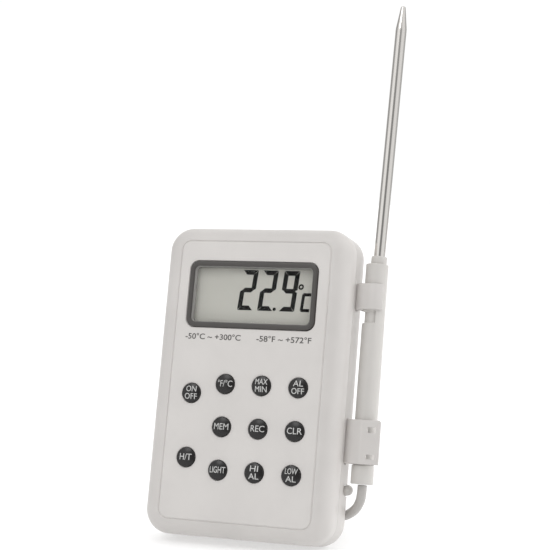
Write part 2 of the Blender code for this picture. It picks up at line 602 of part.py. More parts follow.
def build_stand(frame):
    """The leg, drawn open: its outline runs from the barrel down to a sole flat on the floor."""
    hinge = empty("tilt_stand_axis", frame, (0, STAND_PIVOT_Y, STAND_PIVOT_Z),
                  (LEAN - STAND_SLOPE, 0, 0))
    half = STAND_THICKNESS / 2
    run = half / math.tan(STAND_SLOPE)     # the floor crosses the leg's two faces this far apart
    side = math.degrees(math.asin(half / STAND_BARREL))
    outline = arc((0, 0), STAND_BARREL, side, 360 - side, 15)
    outline += [(STAND_LENGTH - run, -half), (STAND_LENGTH + TOE * run, TOE * half),
                (STAND_LENGTH + TOE * run, half)]
    mesh = outline_mesh("tilt_stand", outline, -STAND_HALF_WIDTH, STAND_HALF_WIDTH,
                        lambda u, v, w: Vector((w, u, v)))
    stand = new_object("tilt_stand", mesh, "case_plastic", hinge)
    width = STAND_HALF_WIDTH + 1
    boolean(stand, rods_mesh("pin_bore", [(STAND_PIN + GAP, (-width, 0, 0), (width, 0, 0))], 16),
            "DIFFERENCE", hinge)
    reach = STAND_HALF_WIDTH + GAP + 1
    new_object("stand_pin", rods_mesh("stand_pin", [(STAND_PIN,
                                                     (-reach, STAND_PIVOT_Y, STAND_PIVOT_Z),
                                                     (reach, STAND_PIVOT_Y, STAND_PIVOT_Z))], 16),
               "steel", frame)


# ---------------------------------------------------------------- probe and clips

def clip_mesh(name, span, end_angle, lip_end=None):
    """A band round the handle, with a flat front and a web that enters the case's side wall."""
    centre = (PROBE_X, PROBE_Y)
    web_front, web_rear = PROBE_Y - 0.4 - CLIP_WEB / 2, PROBE_Y - 0.4 + CLIP_WEB / 2
    root = CASE_WIDTH / 2 - 2.6
    rear_angle = 180 - math.degrees(math.asin((web_rear - PROBE_Y) / CLIP_OUTER))
    outline = [(root, web_front), (root, web_rear)]
    outline += arc(centre, CLIP_OUTER, rear_angle, 60, 14)
    outline += arc(centre, CLIP_INNER, 60, end_angle, 27)
    if lip_end:
        outline += [(lip_end, PROBE_Y - CLIP_INNER), (lip_end, PROBE_Y - CLIP_OUTER)]
    outline += arc(centre, CLIP_OUTER, end_angle, 255, 2 if lip_end else 8)
    outline += [*CLIP_FRONT, (CLIP_FRONT[-1][0], web_front)]
    return outline_mesh(name, outline, span[0], span[1], lambda u, v, w: Vector((u, v, w)))


def build_clips(frame):
    for name, span, end_angle, lip_end in (("upper_clip", UPPER_CLIP, 318, None),
                                           ("lower_clip", LOWER_CLIP, 270, CLIP_LIP_END)):
        clip = new_object(name, clip_mesh(name, span, end_angle, lip_end), "case_plastic", frame)
    windows = [((PROBE_X + 2.3, -12, low), (PROBE_X + 4.9, PROBE_Y - CLIP_INNER + 0.8, high))
               for low, high in CLIP_WINDOWS]
    corner = bmesh.new()
    add_box(corner, (-1.6, -3, -1.6), (1.6, 3, 1.6))
    bmesh.ops.rotate(corner, verts=corner.verts, matrix=Matrix.Rotation(math.pi / 4, 3, "Y"))
    bmesh.ops.translate(corner, verts=corner.verts,
                        vec=millimetres((CLIP_LIP_END + 0.8, PROBE_Y - CLIP_OUTER,
                                         LOWER_CLIP[1] + 0.8)))
    boolean(clip, boxes_mesh("windows", windows), "DIFFERENCE", frame)
    boolean(clip, mesh_of(corner, "chamfer"), "DIFFERENCE", frame)


def build_probe(frame):
    place = (PROBE_X, PROBE_Y, 0)
    axis = empty("probe_axis", frame, place)
    lean = empty("stem_axis", axis, (STEM_OFFSET - HANDLE_TOP * math.sin(STEM_TILT), 0,
                                     HANDLE_TOP * (1 - math.cos(STEM_TILT))), (0, STEM_TILT, 0))
    taper_low = STEM_TIP - STEM_TAPER
    stem = [(0.0, STEM_TIP), (TIP_RADIUS * 0.6, STEM_TIP - 0.12),
            (TIP_RADIUS, STEM_TIP - TIP_ROUND),
            (STEM_RADIUS, taper_low), (STEM_RADIUS, STEM_LOW), (STEM_BORE, STEM_LOW),
            (STEM_BORE, taper_low - 1), (0.0, taper_low + 1)]
    turned("probe_stem", stem, "steel", lean, (0, 0, 0))
    bead = bmesh.new()
    bmesh.ops.create_uvsphere(bead, u_segments=12, v_segments=8, radius=0.9 * MM,
                              matrix=Matrix.Translation((0, 0, (taper_low - 3) * MM)))
    new_object("sensor_bead", mesh_of(bead, "sensor_bead"), "brass", lean)
    reach = taper_low - 4.3 - HANDLE_TOP
    leads_end = (STEM_OFFSET + reach * math.sin(STEM_TILT), 0, HANDLE_TOP + reach * math.cos(STEM_TILT))
    new_object("sensor_leads", rods_mesh("sensor_leads", [(0.5, (0, 0, 70), leads_end)], 8),
               "black_rubber", axis)
    seat = STEM_RADIUS + GAP
    turned("probe_collar", [(seat, COLLAR_HIGH), (COLLAR_RADIUS - 0.2, COLLAR_HIGH),
                            (COLLAR_RADIUS, COLLAR_HIGH - 0.3), (COLLAR_RADIUS, COLLAR_LOW),
                            (seat, COLLAR_LOW), (seat, COLLAR_HIGH)],
           "case_plastic", lean, (0, 0, 0))
    handle = turned("probe_handle",
                    [(0.9, HANDLE_TOP), (HANDLE_RADIUS - 0.5, HANDLE_TOP),
                     (HANDLE_RADIUS, HANDLE_TOP - 0.6), (HANDLE_RADIUS, NECK_HIGH),
                     (NECK_RADIUS, NECK_HIGH - 0.3), (NECK_RADIUS, NECK_LOW + 0.3),
                     (HANDLE_RADIUS, NECK_LOW), (HANDLE_RADIUS, HANDLE_LOW), (0.9, HANDLE_LOW),
                     (0.9, HANDLE_TOP)],
                    "case_plastic", axis, (0, 0, 0), steps=32)
    radius = HANDLE_RADIUS - 0.05
    side = math.degrees(math.acos(NECK_FLAT / radius))
    rib = outline_mesh("rib", arc((0, 0), radius, -side, side, 13), NECK_LOW - 0.8, NECK_HIGH + 0.8,
                       lambda u, v, w: Vector((u, v, w)))
    boolean(handle, rib, "UNION", axis)
    boolean(handle, rods_mesh("seat", [(seat, (0, 0, STEM_LOW - 1), (0, 0, HANDLE_TOP + 2))]),
            "DIFFERENCE", lean)
    cap_top = HANDLE_LOW - GAP
    turned("handle_end_cap",
           [(0.9, cap_top), (END_CAP_RADIUS, cap_top), (END_CAP_RADIUS, END_CAP_LOW + 0.7),
            (END_CAP_RADIUS - 0.7, END_CAP_LOW), (CORD_RADIUS + GAP, END_CAP_LOW),
            (CORD_RADIUS + GAP, END_CAP_LOW + 3), (0.9, END_CAP_LOW + 3), (0.9, cap_top)],
           "case_plastic", axis, (0, 0, 0), steps=32)


# ---------------------------------------------------------------- cord

def build_gland(frame):
    """The cord's strain relief: a ball end set in the rear corner, tapering towards the cord."""
    turn = GLAND_DIRECTION.to_track_quat("Z", "Y").to_euler()
    profile = [(0.0, GLAND_LENGTH), (CORD_RADIUS + 0.05, GLAND_LENGTH),
               (GLAND_RADIUS, GLAND_LENGTH - 4)]
    profile += [(GLAND_RADIUS * math.cos(a), GLAND_RADIUS * math.sin(a))
                for a in (math.radians(-15 * i) for i in range(6))]
    profile.append((0.0, -GLAND_RADIUS))
    turned("cord_gland", profile, "case_plastic", frame, (GLAND_X, GLAND_Y, GLAND_Z), turn, 20)


def build_cord():
    spacing = 5 * CORD_RADIUS
    tube("cord_from_case", smooth_route(ROUTE_FROM_CASE, spacing), CORD_RADIUS, "cord_jacket")
    tube("cord_to_probe", smooth_route(ROUTE_TO_PROBE, spacing), CORD_RADIUS, "cord_jacket")
    inner = COIL_MEAN_RADIUS - COIL_HALF_WIDTH
    outer = COIL_MEAN_RADIUS + COIL_HALF_WIDTH
    low, high = COIL_LOW, COIL_LOW + COIL_HEIGHT
    ring = [(inner, high - 1.2), (inner + 1.2, high), (outer - 1.2, high), (outer, high - 1.2),
            (outer, low + 1.2), (outer - 1.2, low), (inner + 1.2, low), (inner, low + 1.2),
            (inner, high - 1.2)]
    turned("cord_coil", ring, "cord_jacket", None, (COIL_X, COIL_Y, 0), steps=32)

    reach = COIL_HALF_WIDTH + GAP + 0.2
    side = COIL_Y + COIL_MEAN_RADIUS
    half = TIE_WIDTH / 2
    band = rounded_mesh("coil_tie", (COIL_X - half, side - reach - TIE_THICKNESS, 0.1),
                        (COIL_X + half, side + reach + TIE_THICKNESS,
                         high + GAP + TIE_THICKNESS), 0.4, corner_segments=1)
    tie = new_object("coil_tie", band, "black_rubber")
    boolean(tie, boxes_mesh("loop", [((COIL_X - half - 1, side - reach, low - GAP),
                                      (COIL_X + half + 1, side + reach, high + GAP))]),
            "DIFFERENCE", None)


def main():
    frame = empty("case_frame", None, (0, 0, 0), (-LEAN, 0, 0))
    frame.location = millimetres((-MIDDLE_X, -(FRONT_REACH + TIP_REACH) / 2, -FLOOR_DROP))
    build_front_shell(frame)
    build_rear_shell(frame)
    build_face(frame)
    build_display(frame)
    build_keys(frame)
    build_board(frame)
    build_screws(frame)
    build_battery_bay(frame)
    build_door(frame)
    build_stand(frame)
    build_clips(frame)
    build_probe(frame)
    build_gland(frame)
    build_cord()


main()
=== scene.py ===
"""The looks of the digital probe thermometer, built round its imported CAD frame."""
import json
import math

import bmesh
import bpy
from mathutils import Matrix, Vector


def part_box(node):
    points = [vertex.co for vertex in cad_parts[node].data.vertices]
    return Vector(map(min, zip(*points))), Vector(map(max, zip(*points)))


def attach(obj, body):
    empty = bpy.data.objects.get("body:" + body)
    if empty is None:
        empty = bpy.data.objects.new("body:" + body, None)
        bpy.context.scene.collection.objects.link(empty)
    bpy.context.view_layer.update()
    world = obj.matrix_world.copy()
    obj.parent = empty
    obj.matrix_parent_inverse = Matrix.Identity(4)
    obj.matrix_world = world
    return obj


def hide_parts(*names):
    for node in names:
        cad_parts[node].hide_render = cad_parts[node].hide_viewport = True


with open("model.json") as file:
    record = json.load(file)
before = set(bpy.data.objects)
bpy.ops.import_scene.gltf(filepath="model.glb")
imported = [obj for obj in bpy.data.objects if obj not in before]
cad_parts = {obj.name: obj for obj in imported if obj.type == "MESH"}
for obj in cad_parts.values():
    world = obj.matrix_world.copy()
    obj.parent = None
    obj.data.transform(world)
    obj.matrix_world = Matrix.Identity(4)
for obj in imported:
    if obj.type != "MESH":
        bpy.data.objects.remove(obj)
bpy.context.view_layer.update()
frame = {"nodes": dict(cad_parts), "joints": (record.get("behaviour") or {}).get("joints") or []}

# ---- sizes, in millimetres
MM = 0.001
GAP = 0.3
CASE_WIDTH, CASE_DEPTH, CASE_HEIGHT = 68.4, 19.4, 108.3
CORNER_RADIUS, FRONT_RADIUS, REAR_RADIUS = 8.6, 5.7, 1.9
WALL, FRONT_WALL, SPLIT_Y = 1.8, 2.5, -10.0
FRONT_Y, MIDDLE_Z = -CASE_DEPTH, CASE_HEIGHT / 2
INNER_FRONT_Y = FRONT_Y + FRONT_WALL
SEAM, SEAM_GAP = 0.15, 0.1     # the rounding along the shells' parting edges, and their gap
POCKET_LIP = 1.25              # how far the rim of the panel's pocket widens at the face

PANEL_WIDTH, PANEL_HEIGHT, PANEL_THICKNESS, PANEL_CORNER = 55.1, 97.0, 1.0, 3.2
DISPLAY_X, DISPLAY_Z = -0.15, MIDDLE_Z + 29.8
BEZEL_WIDTH, BEZEL_HEIGHT, BEZEL_RIM, BEZEL_PROUD = 47.4, 23.3, 1.7, 0.35

KEY_RADIUS, KEY_PROUD, KEY_FLANGE, KEY_FLANGE_THICKNESS = 3.42, 1.1, 4.3, 0.9
KEY_HOLE, KEY_CHAMFER = KEY_RADIUS + 0.12, 0.15
COLUMNS = (-7.0, 6.36, 19.71)
ROWS = (MIDDLE_Z - 1.57, MIDDLE_Z - 16.38, MIDDLE_Z - 31.19)
KEYS = {name: (COLUMNS[number % 3], ROWS[number // 3], lines) for number, (name, lines) in
        enumerate((("key_units", ("°F/°C",)), ("key_max_min", ("MAX", "MIN")),
                   ("key_alarm_off", ("AL", "OFF")), ("key_memory", ("MEM",)),
                   ("key_record", ("REC",)), ("key_clear", ("CLR",)), ("key_light", ("LIGHT",)),
                   ("key_high_alarm", ("HI", "AL")), ("key_low_alarm", ("LOW", "AL"))))}
KEYS["key_power"] = (-19.35, MIDDLE_Z - 5.26, ("ON", "OFF"))
KEYS["key_hold"] = (-19.2, MIDDLE_Z - 27.54, ("H/T",))

CASE_SCREWS = ((-28.4, 27.0), (28.4, 27.0), (-28.4, 97.0), (28.4, 97.0))
BOSS_RADIUS, SCREW_HEAD, SCREW_SHANK = 2.4, 2.1, 1.0
DOOR_HALF_WIDTH, DOOR_LOW, DOOR_HIGH, DOOR_THICKNESS = 25.0, 3.0, 17.4, 1.5
STAND_HALF_WIDTH, STAND_THICKNESS, STAND_LENGTH = 11.8, 2.2, 40.0
STAND_PIVOT_Y, STAND_PIVOT_Z, STAND_BARREL, STAND_PIN = -2.1, 21.6, 1.9, 0.75
RECESS_DEPTH, RECESS_TOP, RECESS_WALL = 4.3, 65.5, 1.4
NOTCH_RADIUS, NOTCH_Y, SCREW_SEAT_Y = 6.0, 4.6, -1.6

PROBE_X, PROBE_Y = 40.5, -5.8
STEM_RADIUS, STEM_BORE, STEM_TIP, STEM_TAPER, STEM_LOW = 2.0, 1.3, 192.15, 8.9, 89.0
STEM_OFFSET, STEM_TILT = 0.45, math.radians(1.34)      # where it leaves the handle
TIP_RADIUS, TIP_ROUND = 0.9, 0.7
COLLAR_RADIUS, COLLAR_LOW, COLLAR_HIGH = 2.75, 98.3, 100.75
HANDLE_RADIUS, HANDLE_TOP, HANDLE_LOW, BORE_RADIUS = 3.9, 98.0, 28.9, 0.9
NECK_RADIUS, NECK_HIGH, NECK_LOW, NECK_FLAT = 3.1, 81.45, 77.15, 1.6
END_CAP_RADIUS, END_CAP_LOW = 3.85, 22.15
CLIP_INNER, CLIP_OUTER, CLIP_WEB = 4.3, 5.1, 1.6
UPPER_CLIP, LOWER_CLIP = (81.7, 90.7), (28.75, 43.75)
CLIP_FRONT = ((38.92, -10.68), (37.7, -10.6), (36.5, -10.35), (35.5, -9.85), (34.85, -9.2),
              (34.35, -8.3))    # from the band to the case's side
CLIP_LIP_END, CLIP_SHIFT = 47.2, 0.4      # the webs stand this far in front of the probe's axis
CLIP_WINDOWS = ((39.4, 41.4), (30.5, 32.1))

GLAND_PLACE, GLAND_RADIUS, GLAND_LENGTH = Vector((35.2, -4.0, 19.85)), 1.8, 9.0
GLAND_DIRECTION = Vector((-0.5, 0.86, -0.06)).normalized()

# The cord's route either side of its coil.
CORD_RADIUS = 1.6
ROUTE_FROM_CASE = ((24.03, -3.02, 17.39), (20.8, 1.5, 15.9), (17.4, 6.4, 12.9), (14.3, 11.4, 9.3),
                   (11.9, 16.6, 5.6), (9.9, 22.2, 2.7), (7.6, 27.5, 1.75), (3.0, 31.4, 1.75),
                   (-3.0, 33.4, 1.75))
ROUTE_TO_PROBE = ((3.9, 43.0, 1.8), (6.7, 38.4, 1.75), (9.4, 33.2, 1.75), (11.9, 27.5, 1.75),
                  (14.1, 21.8, 1.95), (16.1, 16.6, 2.7), (17.9, 11.6, 3.9), (19.4, 7.0, 5.2),
                  (20.91, 3.62, 6.96), (22.73, -0.81, 8.36), (24.6, -3.56, 9.09),
                  (27.61, -6.85, 10.47), (31.38, -10.46, 13.45), (33.45, -11.92, 16.63),
                  (34.15, -12.3, 19.6), (34.3, -11.96, 22.2))
COIL_X, COIL_Y, COIL_MEAN_RADIUS = -22.0, 57.0, 18.0
COIL_TURN_RADIUS = 17.27       # of the visual turns, which gives the cord's whole length
COIL_LOW, COIL_HEIGHT, FLOOR_LINE = 0.9, 9.6, 1.75

# ---- the case's own frame
AXES = {joint["name"]: Vector(joint["axis"]) for joint in frame["joints"]}
TURN = Matrix(((1, 0, 0), AXES["key_units_press"], AXES["probe_slide"])).transposed()
PANEL_MIDDLE = sum(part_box("face_panel"), Vector()) / 2
PANEL_IN_CASE = Vector((0, FRONT_Y + PANEL_THICKNESS / 2, MIDDLE_Z)) * MM
CASE = Matrix.Translation(PANEL_MIDDLE - TURN @ PANEL_IN_CASE) @ TURN.to_4x4()


def in_world(point):
    """A point of the case's frame, in millimetres, as metres in the world."""
    return CASE @ (Vector(point) * MM)


def moved(x, y, z):
    return Matrix.Translation(Vector((x, y, z)) * MM)


def set_inputs(node, values):
    for name, value in values.items():
        node.inputs[name].default_value = value


def new_object(name, data):
    obj = bpy.data.objects.new(name, data)
    bpy.context.scene.collection.objects.link(obj)
    return obj


# ---- camera and light
# The room's brightness by direction, in degrees to the right of the photographer's side.
ROOM = ((-180, 1.02), (-155, 1.02), (-135, 0.42), (-100, 0.48), (-75, 1.15), (-35, 1.15),
        (-16, 0.3), (10, 0.3), (26, 1.0), (70, 1.05), (105, 0.6), (135, 0.5), (157, 1.02),
        (180, 1.02))
CEILING, CEILING_FROM, CEILING_TO = 1.06, 0.5, 0.8     # brightness, and the rise it blends over
WORLD_STRENGTH = 4.0
FLOOR_RADIUS, FLOOR_BASE, FLOOR_GLOW = 6.0, 0.62, 0.4
KEY_LIGHT = (-0.34, -0.94, 1.19), 0.38, 25      # direction, strength, spread in degrees
FILL_LIGHTS = (((0.816, 0.578, 0.45), 1.4, 50), ((0.2, 0.3, 1.6), 0.25, 60))
YAW, ELEVATION, DISTANCE = math.radians(20.312), math.radians(3.878), 0.49708
RIGHT_OFFSET, UP_OFFSET, LENS, SENSOR = 0.0105, 0.036326, 94.5, 36


def add_camera():
    back = Vector((math.sin(YAW) * math.cos(ELEVATION), -math.cos(YAW) * math.cos(ELEVATION),
                   math.sin(ELEVATION)))
    right = Vector((math.cos(YAW), math.sin(YAW), 0))
    up = back.cross(right)
    camera = bpy.data.cameras.new("camera")
    camera.lens = LENS
    camera.sensor_width = SENSOR
    camera.clip_start = 0.01
    obj = new_object("camera", camera)
    place = in_world((0, FRONT_Y, MIDDLE_Z))
    place += back * DISTANCE + right * RIGHT_OFFSET + up * UP_OFFSET
    obj.matrix_world = Matrix.Translation(place) @ Matrix((right, up, back)).transposed().to_4x4()
    bpy.context.scene.camera = obj


def studio():
    """A white room, brighter and darker by direction as round a product table."""
    world = bpy.data.worlds.new("studio")
    world.use_nodes = True
    tree = world.node_tree
    direction = add_node(tree, "ShaderNodeTexCoord").outputs["Generated"]
    around = add_node(tree, "ShaderNodeMapping", {"Rotation": (0, 0, math.pi / 2 - YAW)})
    radial = add_node(tree, "ShaderNodeTexGradient", gradient_type="RADIAL")
    ramp = add_node(tree, "ShaderNodeValToRGB")
    ramp.color_ramp.interpolation = "EASE"
    while len(ramp.color_ramp.elements) < len(ROOM):
        ramp.color_ramp.elements.new(0.5)
    for element, (degrees, level) in zip(ramp.color_ramp.elements, ROOM):
        element.position = 0.5 + degrees / 360
        element.color = (*[level / WORLD_STRENGTH] * 3, 1)
    height = add_node(tree, "ShaderNodeSeparateXYZ")
    for source, node in ((direction, around), (around.outputs["Vector"], radial),
                         (radial.outputs["Fac"], ramp), (direction, height)):
        tree.links.new(source, node.inputs[0])
    overhead = mapped(tree, height.outputs["Z"], CEILING_FROM, CEILING_TO, 0, 1)
    room = mixed(tree, overhead, ramp.outputs["Color"], (CEILING / WORLD_STRENGTH,) * 3)
    background = tree.nodes["Background"]
    set_inputs(background, {"Strength": WORLD_STRENGTH})
    tree.links.new(room, background.inputs["Color"])
    return world


def add_stage():
    bm = bmesh.new()
    bmesh.ops.create_circle(bm, cap_ends=True, segments=96, radius=FLOOR_RADIUS)
    mesh = bpy.data.meshes.new("floor")
    bm.to_mesh(mesh)
    bm.free()
    floor = new_object("floor", mesh)
    material = bpy.data.materials.new("floor_white")
    material.use_nodes = True
    set_inputs(material.node_tree.nodes["Principled BSDF"], {
        "Base Color": (*[FLOOR_BASE] * 3, 1), "Roughness": 0.9,
        "Emission Color": (1, 1, 1, 1), "Emission Strength": FLOOR_GLOW,
        "Specular IOR Level": 0.1})
    mesh.materials.append(material)

    bpy.context.scene.world = studio()
    bpy.context.scene.view_settings.view_transform = "Standard"
    add_sun("key_light", *KEY_LIGHT)
    for number, fill in enumerate(FILL_LIGHTS, 1):
        lamp = add_sun(f"fill_light_{number}", *fill)
        lamp.visible_glossy = False
        lamp.data.use_shadow = False


def add_sun(name, direction, strength, spread):
    light = bpy.data.lights.new(name, "SUN")
    light.energy = strength
    light.angle = math.radians(spread)
    obj = new_object(name, light)
    obj.rotation_euler = Vector(direction).to_track_quat("Z", "Y").to_euler()
    return obj


# ---- mesh tools

SHARP = 32        # an edge whose faces turn by more than these degrees stays sharp


def finish_mesh(mesh, angle=SHARP):
    mesh.shade_smooth()
    mesh.set_sharp_from_angle(angle=math.radians(angle))
    return mesh


def mesh_from(bm, name, angle=SHARP):
    bmesh.ops.recalc_face_normals(bm, faces=bm.faces)
    mesh = bpy.data.meshes.new(name)
    bm.to_mesh(mesh)
    bm.free()
    return finish_mesh(mesh, angle)


def bridge(bm, loops, wrap=False):
    """Faces between each loop of vertices and the next; a loop of one vertex is a pole."""
    for first, second in zip(loops, loops[1:] + loops[:1] if wrap else loops[1:]):
        sides = max(len(first), len(second))
        for i in range(sides):
            j = (i + 1) % sides
            corners = dict.fromkeys((first[i % len(first)], first[j % len(first)],
                                     second[j % len(second)], second[i % len(second)]))
            if len(corners) > 2:
                bm.faces.new(tuple(corners))


def rounded_rectangle(half_width, half_height, radius, segments):
    """Points round a rectangle's outline, counter-clockwise from its right lower corner."""
    radius = max(radius, 0.001)
    points = []
    for turns, (sx, sz) in enumerate(((1, -1), (1, 1), (-1, 1), (-1, -1))):
        cx, cz = sx * (half_width - radius), sz * (half_height - radius)
        for step in range(segments + 1):
            angle = math.radians(90 * (turns - 1 + step / segments))
            points.append((cx + radius * math.cos(angle), cz + radius * math.sin(angle)))
    return points


def stack(name, centre, sections, segments=10, wrap=False):
    """Rounded rectangles (depth, half width, half height, corner radius) lofted one to the next.
    Wrapped, the last joins the first and makes a frame; otherwise both ends are closed."""
    bm = bmesh.new()
    loops = []
    for y, half_width, half_height, radius in sections:
        outline = rounded_rectangle(half_width, half_height, radius, segments)
        loops.append([bm.verts.new(Vector((centre[0] + x, y, centre[1] + z)) * MM)
                      for x, z in outline])
    bridge(bm, loops, wrap)
    if not wrap:
        bm.faces.new(loops[0])
        bm.faces.new(reversed(loops[-1]))
    bmesh.ops.remove_doubles(bm, verts=bm.verts, dist=1e-7)
    return mesh_from(bm, name)


def quarter(depth_from, depth_to, half_width, half_height, corner, radius, steps):
    """Sections that round a rim: from the flat face at depth_from to the side at depth_to."""
    sections = []
    for step in range(steps + 1):
        angle = math.pi / 2 * step / steps
        inset = radius * (1 - math.sin(angle))
        depth = depth_from + (depth_to - depth_from) * (1 - math.cos(angle))
        sections.append((depth, half_width - inset, half_height - inset, corner - inset))
    return sections


def slab(name, centre, half_width, half_height, corner, front, rear, front_radius, rear_radius,
         steps=(8, 4), segments=10):
    """A rounded plate between two depths, each rim rounded by its own radius."""
    sections = quarter(front, front + front_radius, half_width, half_height, corner,
                       front_radius, steps[0])
    sections += reversed(quarter(rear, rear - rear_radius, half_width, half_height, corner,
                                 rear_radius, steps[1]))
    return stack(name, centre, sections, segments)


def blocks(name, boxes):
    bm = bmesh.new()
    for low, high in boxes:
        size, centre = Vector(high) - Vector(low), (Vector(high) + Vector(low)) / 2
        bmesh.ops.create_cube(bm, size=1, matrix=moved(*centre) @ Matrix.Diagonal((*size * MM, 1)))
    return mesh_from(bm, name)


def rods(name, lines, sides=40):
    """Rods as (radius, start, end) or, tapering, (radius, start, end, end radius)."""
    bm = bmesh.new()
    for radius, start, end, *end_radius in lines:
        start, end = Vector(start), Vector(end)
        turn = (end - start).to_track_quat("Z", "Y").to_matrix().to_4x4()
        bmesh.ops.create_cone(bm, cap_ends=True, segments=sides, radius1=radius * MM,
                              radius2=(*end_radius, radius)[0] * MM,
                              depth=(end - start).length * MM,
                              matrix=moved(*(start + end) / 2) @ turn)
    return mesh_from(bm, name)


def evaluated(obj):
    graph = bpy.context.evaluated_depsgraph_get()
    return bpy.data.meshes.new_from_object(obj.evaluated_get(graph))


def carve(mesh, *tools, operation="DIFFERENCE"):
    """The mesh with each tool in turn cut out of it or joined on, as a new mesh."""
    for tool in tools:
        objects = [new_object("work", mesh), new_object("tool", tool)]
        modifier = objects[0].modifiers.new("carve", "BOOLEAN")
        modifier.operation = operation
        modifier.object = objects[1]
        modifier.solver = "EXACT"
        mesh = finish_mesh(evaluated(objects[0]))
        for obj in objects:
            bpy.data.objects.remove(obj)
    return mesh


def turned(name, profile, steps=64, angle=SHARP):
    """(Radius, height) pairs turned about Z; a profile that ends where it starts is a ring."""
    bm = bmesh.new()
    ring = profile[0] == profile[-1]
    rows = []
    for radius, height in profile[:-1] if ring else profile:
        if radius < 1e-6:
            rows.append([bm.verts.new((0, 0, height * MM))])
        else:
            rows.append([bm.verts.new((radius * MM * math.cos(a), radius * MM * math.sin(a),
                                       height * MM))
                         for a in (2 * math.pi * i / steps for i in range(steps))])
    bridge(bm, rows, ring)
    return mesh_from(bm, name, angle)


def round_corners(profile, radius=0.25, steps=4):
    """Each inner corner of an open profile replaced by a short curve; sharp ends stay."""
    points = [Vector(p) for p in profile]
    result = [points[0]]
    for before, corner, after in zip(points, points[1:], points[2:]):
        toward, away = before - corner, after - corner
        reach = min(radius, toward.length * 0.45, away.length * 0.45)
        start, end = corner + toward.normalized() * reach, corner + away.normalized() * reach
        for step in range(steps + 1):
            t = step / steps
            result.append(start * (1 - t) ** 2 + corner * 2 * t * (1 - t) + end * t ** 2)
    result.append(points[-1])
    return [tuple(p) for p in result]


def arc(centre, radius, start, end, count):
    angles = [math.radians(start + (end - start) * i / (count - 1)) for i in range(count)]
    return [(centre[0] + radius * math.cos(a), centre[1] + radius * math.sin(a)) for a in angles]


def extruded(name, outline, low, high, to_xyz=lambda *uvw: uvw, bevel=0.2, bevel_segments=3):
    """A flat outline (u, v) between two levels w, its end rims rounded, placed by to_xyz."""
    bm = bmesh.new()
    face = bm.faces.new([bm.verts.new((u, v, low)) for u, v in outline])
    lifted = bmesh.ops.extrude_face_region(bm, geom=[face])["geom"]
    for vert in lifted:
        if isinstance(vert, bmesh.types.BMVert):
            vert.co.z = high
    rims = [edge for edge in bm.edges if abs(edge.verts[0].co.z - edge.verts[1].co.z) < 1e-6]
    bmesh.ops.bevel(bm, geom=rims, offset=bevel, segments=bevel_segments, profile=0.5,
                    affect="EDGES")
    for vert in bm.verts:
        vert.co = Vector(to_xyz(*vert.co)) * MM
    return mesh_from(bm, name)


# ---- materials

def add_node(tree, kind, inputs=(), **settings):
    node = tree.nodes.new(kind)
    for name, value in settings.items():
        setattr(node, name, value)
    set_inputs(node, dict(inputs))
    return node


def noise(tree, coordinates, scale, detail=3.0):
    node = add_node(tree, "ShaderNodeTexNoise",
                    {"Scale": scale, "Detail": detail, "Roughness": 0.55})
    tree.links.new(coordinates, node.inputs["Vector"])
    return node.outputs["Fac"]


def mapped(tree, value, from_low, from_high, low, high):
    node = add_node(tree, "ShaderNodeMapRange", {"From Min": from_low, "From Max": from_high,
                                                 "To Min": low, "To Max": high})
    tree.links.new(value, node.inputs["Value"])
    return node.outputs["Result"]


def mixed(tree, factor, first, second):
    node = add_node(tree, "ShaderNodeMix", data_type="RGBA")
    tree.links.new(factor, node.inputs[0])
    for value, socket in ((first, node.inputs[6]), (second, node.inputs[7])):
        if isinstance(value, tuple):
            socket.default_value = (*value, 1)
        else:
            tree.links.new(value, socket)
    return node.outputs[2]


def scaled_colour(colour, factor):
    return tuple(min(c * factor, 1.0) for c in colour)


MOTTLE_SCALE, SMUDGE_SCALE = 60, 180
NOISE_RANGE, EDGE_RANGE = (0.3, 0.7), (0.52, 0.62)     # what is spread over the whole effect


def surface(name, colour, roughness, metallic=0.0, mottle=0.03, grain=1500, depth=10,
            spread=0.06, wear=0.12, coat=0.0, stretch=None, specular=0.5, transmission=0.0):
    """A moulded, painted or drawn surface: faint mottling, uneven gloss, worn edges, and a fine
    grain whose depth is in micrometres."""
    material = bpy.data.materials.new(name)
    material.use_nodes = True
    tree = material.node_tree
    shader = tree.nodes["Principled BSDF"]
    coordinates = add_node(tree, "ShaderNodeTexCoord").outputs["Object"]
    if stretch:
        mapping = add_node(tree, "ShaderNodeMapping",
                           {"Rotation": TURN.to_euler(), "Scale": stretch}, vector_type="TEXTURE")
        tree.links.new(coordinates, mapping.inputs["Vector"])
        coordinates = mapping.outputs["Vector"]
    patches = mapped(tree, noise(tree, coordinates, MOTTLE_SCALE), *NOISE_RANGE, 0, 1)
    colours = mixed(tree, patches, scaled_colour(colour, 1 - mottle),
                    scaled_colour(colour, 1 + mottle))
    if wear:
        pointiness = add_node(tree, "ShaderNodeNewGeometry").outputs["Pointiness"]
        edges = mapped(tree, pointiness, *EDGE_RANGE, 0, wear)
        colours = mixed(tree, edges, colours, scaled_colour(colour, 1.5))
    tree.links.new(colours, shader.inputs["Base Color"])
    gloss = mapped(tree, noise(tree, coordinates, SMUDGE_SCALE, 4), *NOISE_RANGE,
                   max(roughness - spread, 0.02), roughness + spread)
    tree.links.new(gloss, shader.inputs["Roughness"])
    bump = add_node(tree, "ShaderNodeBump", {"Strength": 0.6, "Distance": depth * 1e-6})
    tree.links.new(noise(tree, coordinates, grain, 2), bump.inputs["Height"])
    tree.links.new(bump.outputs["Normal"], shader.inputs["Normal"])
    set_inputs(shader, {"Metallic": metallic, "Specular IOR Level": specular,
                        "Coat Weight": coat, "Coat Roughness": 0.08,
                        "Transmission Weight": transmission})
    return material


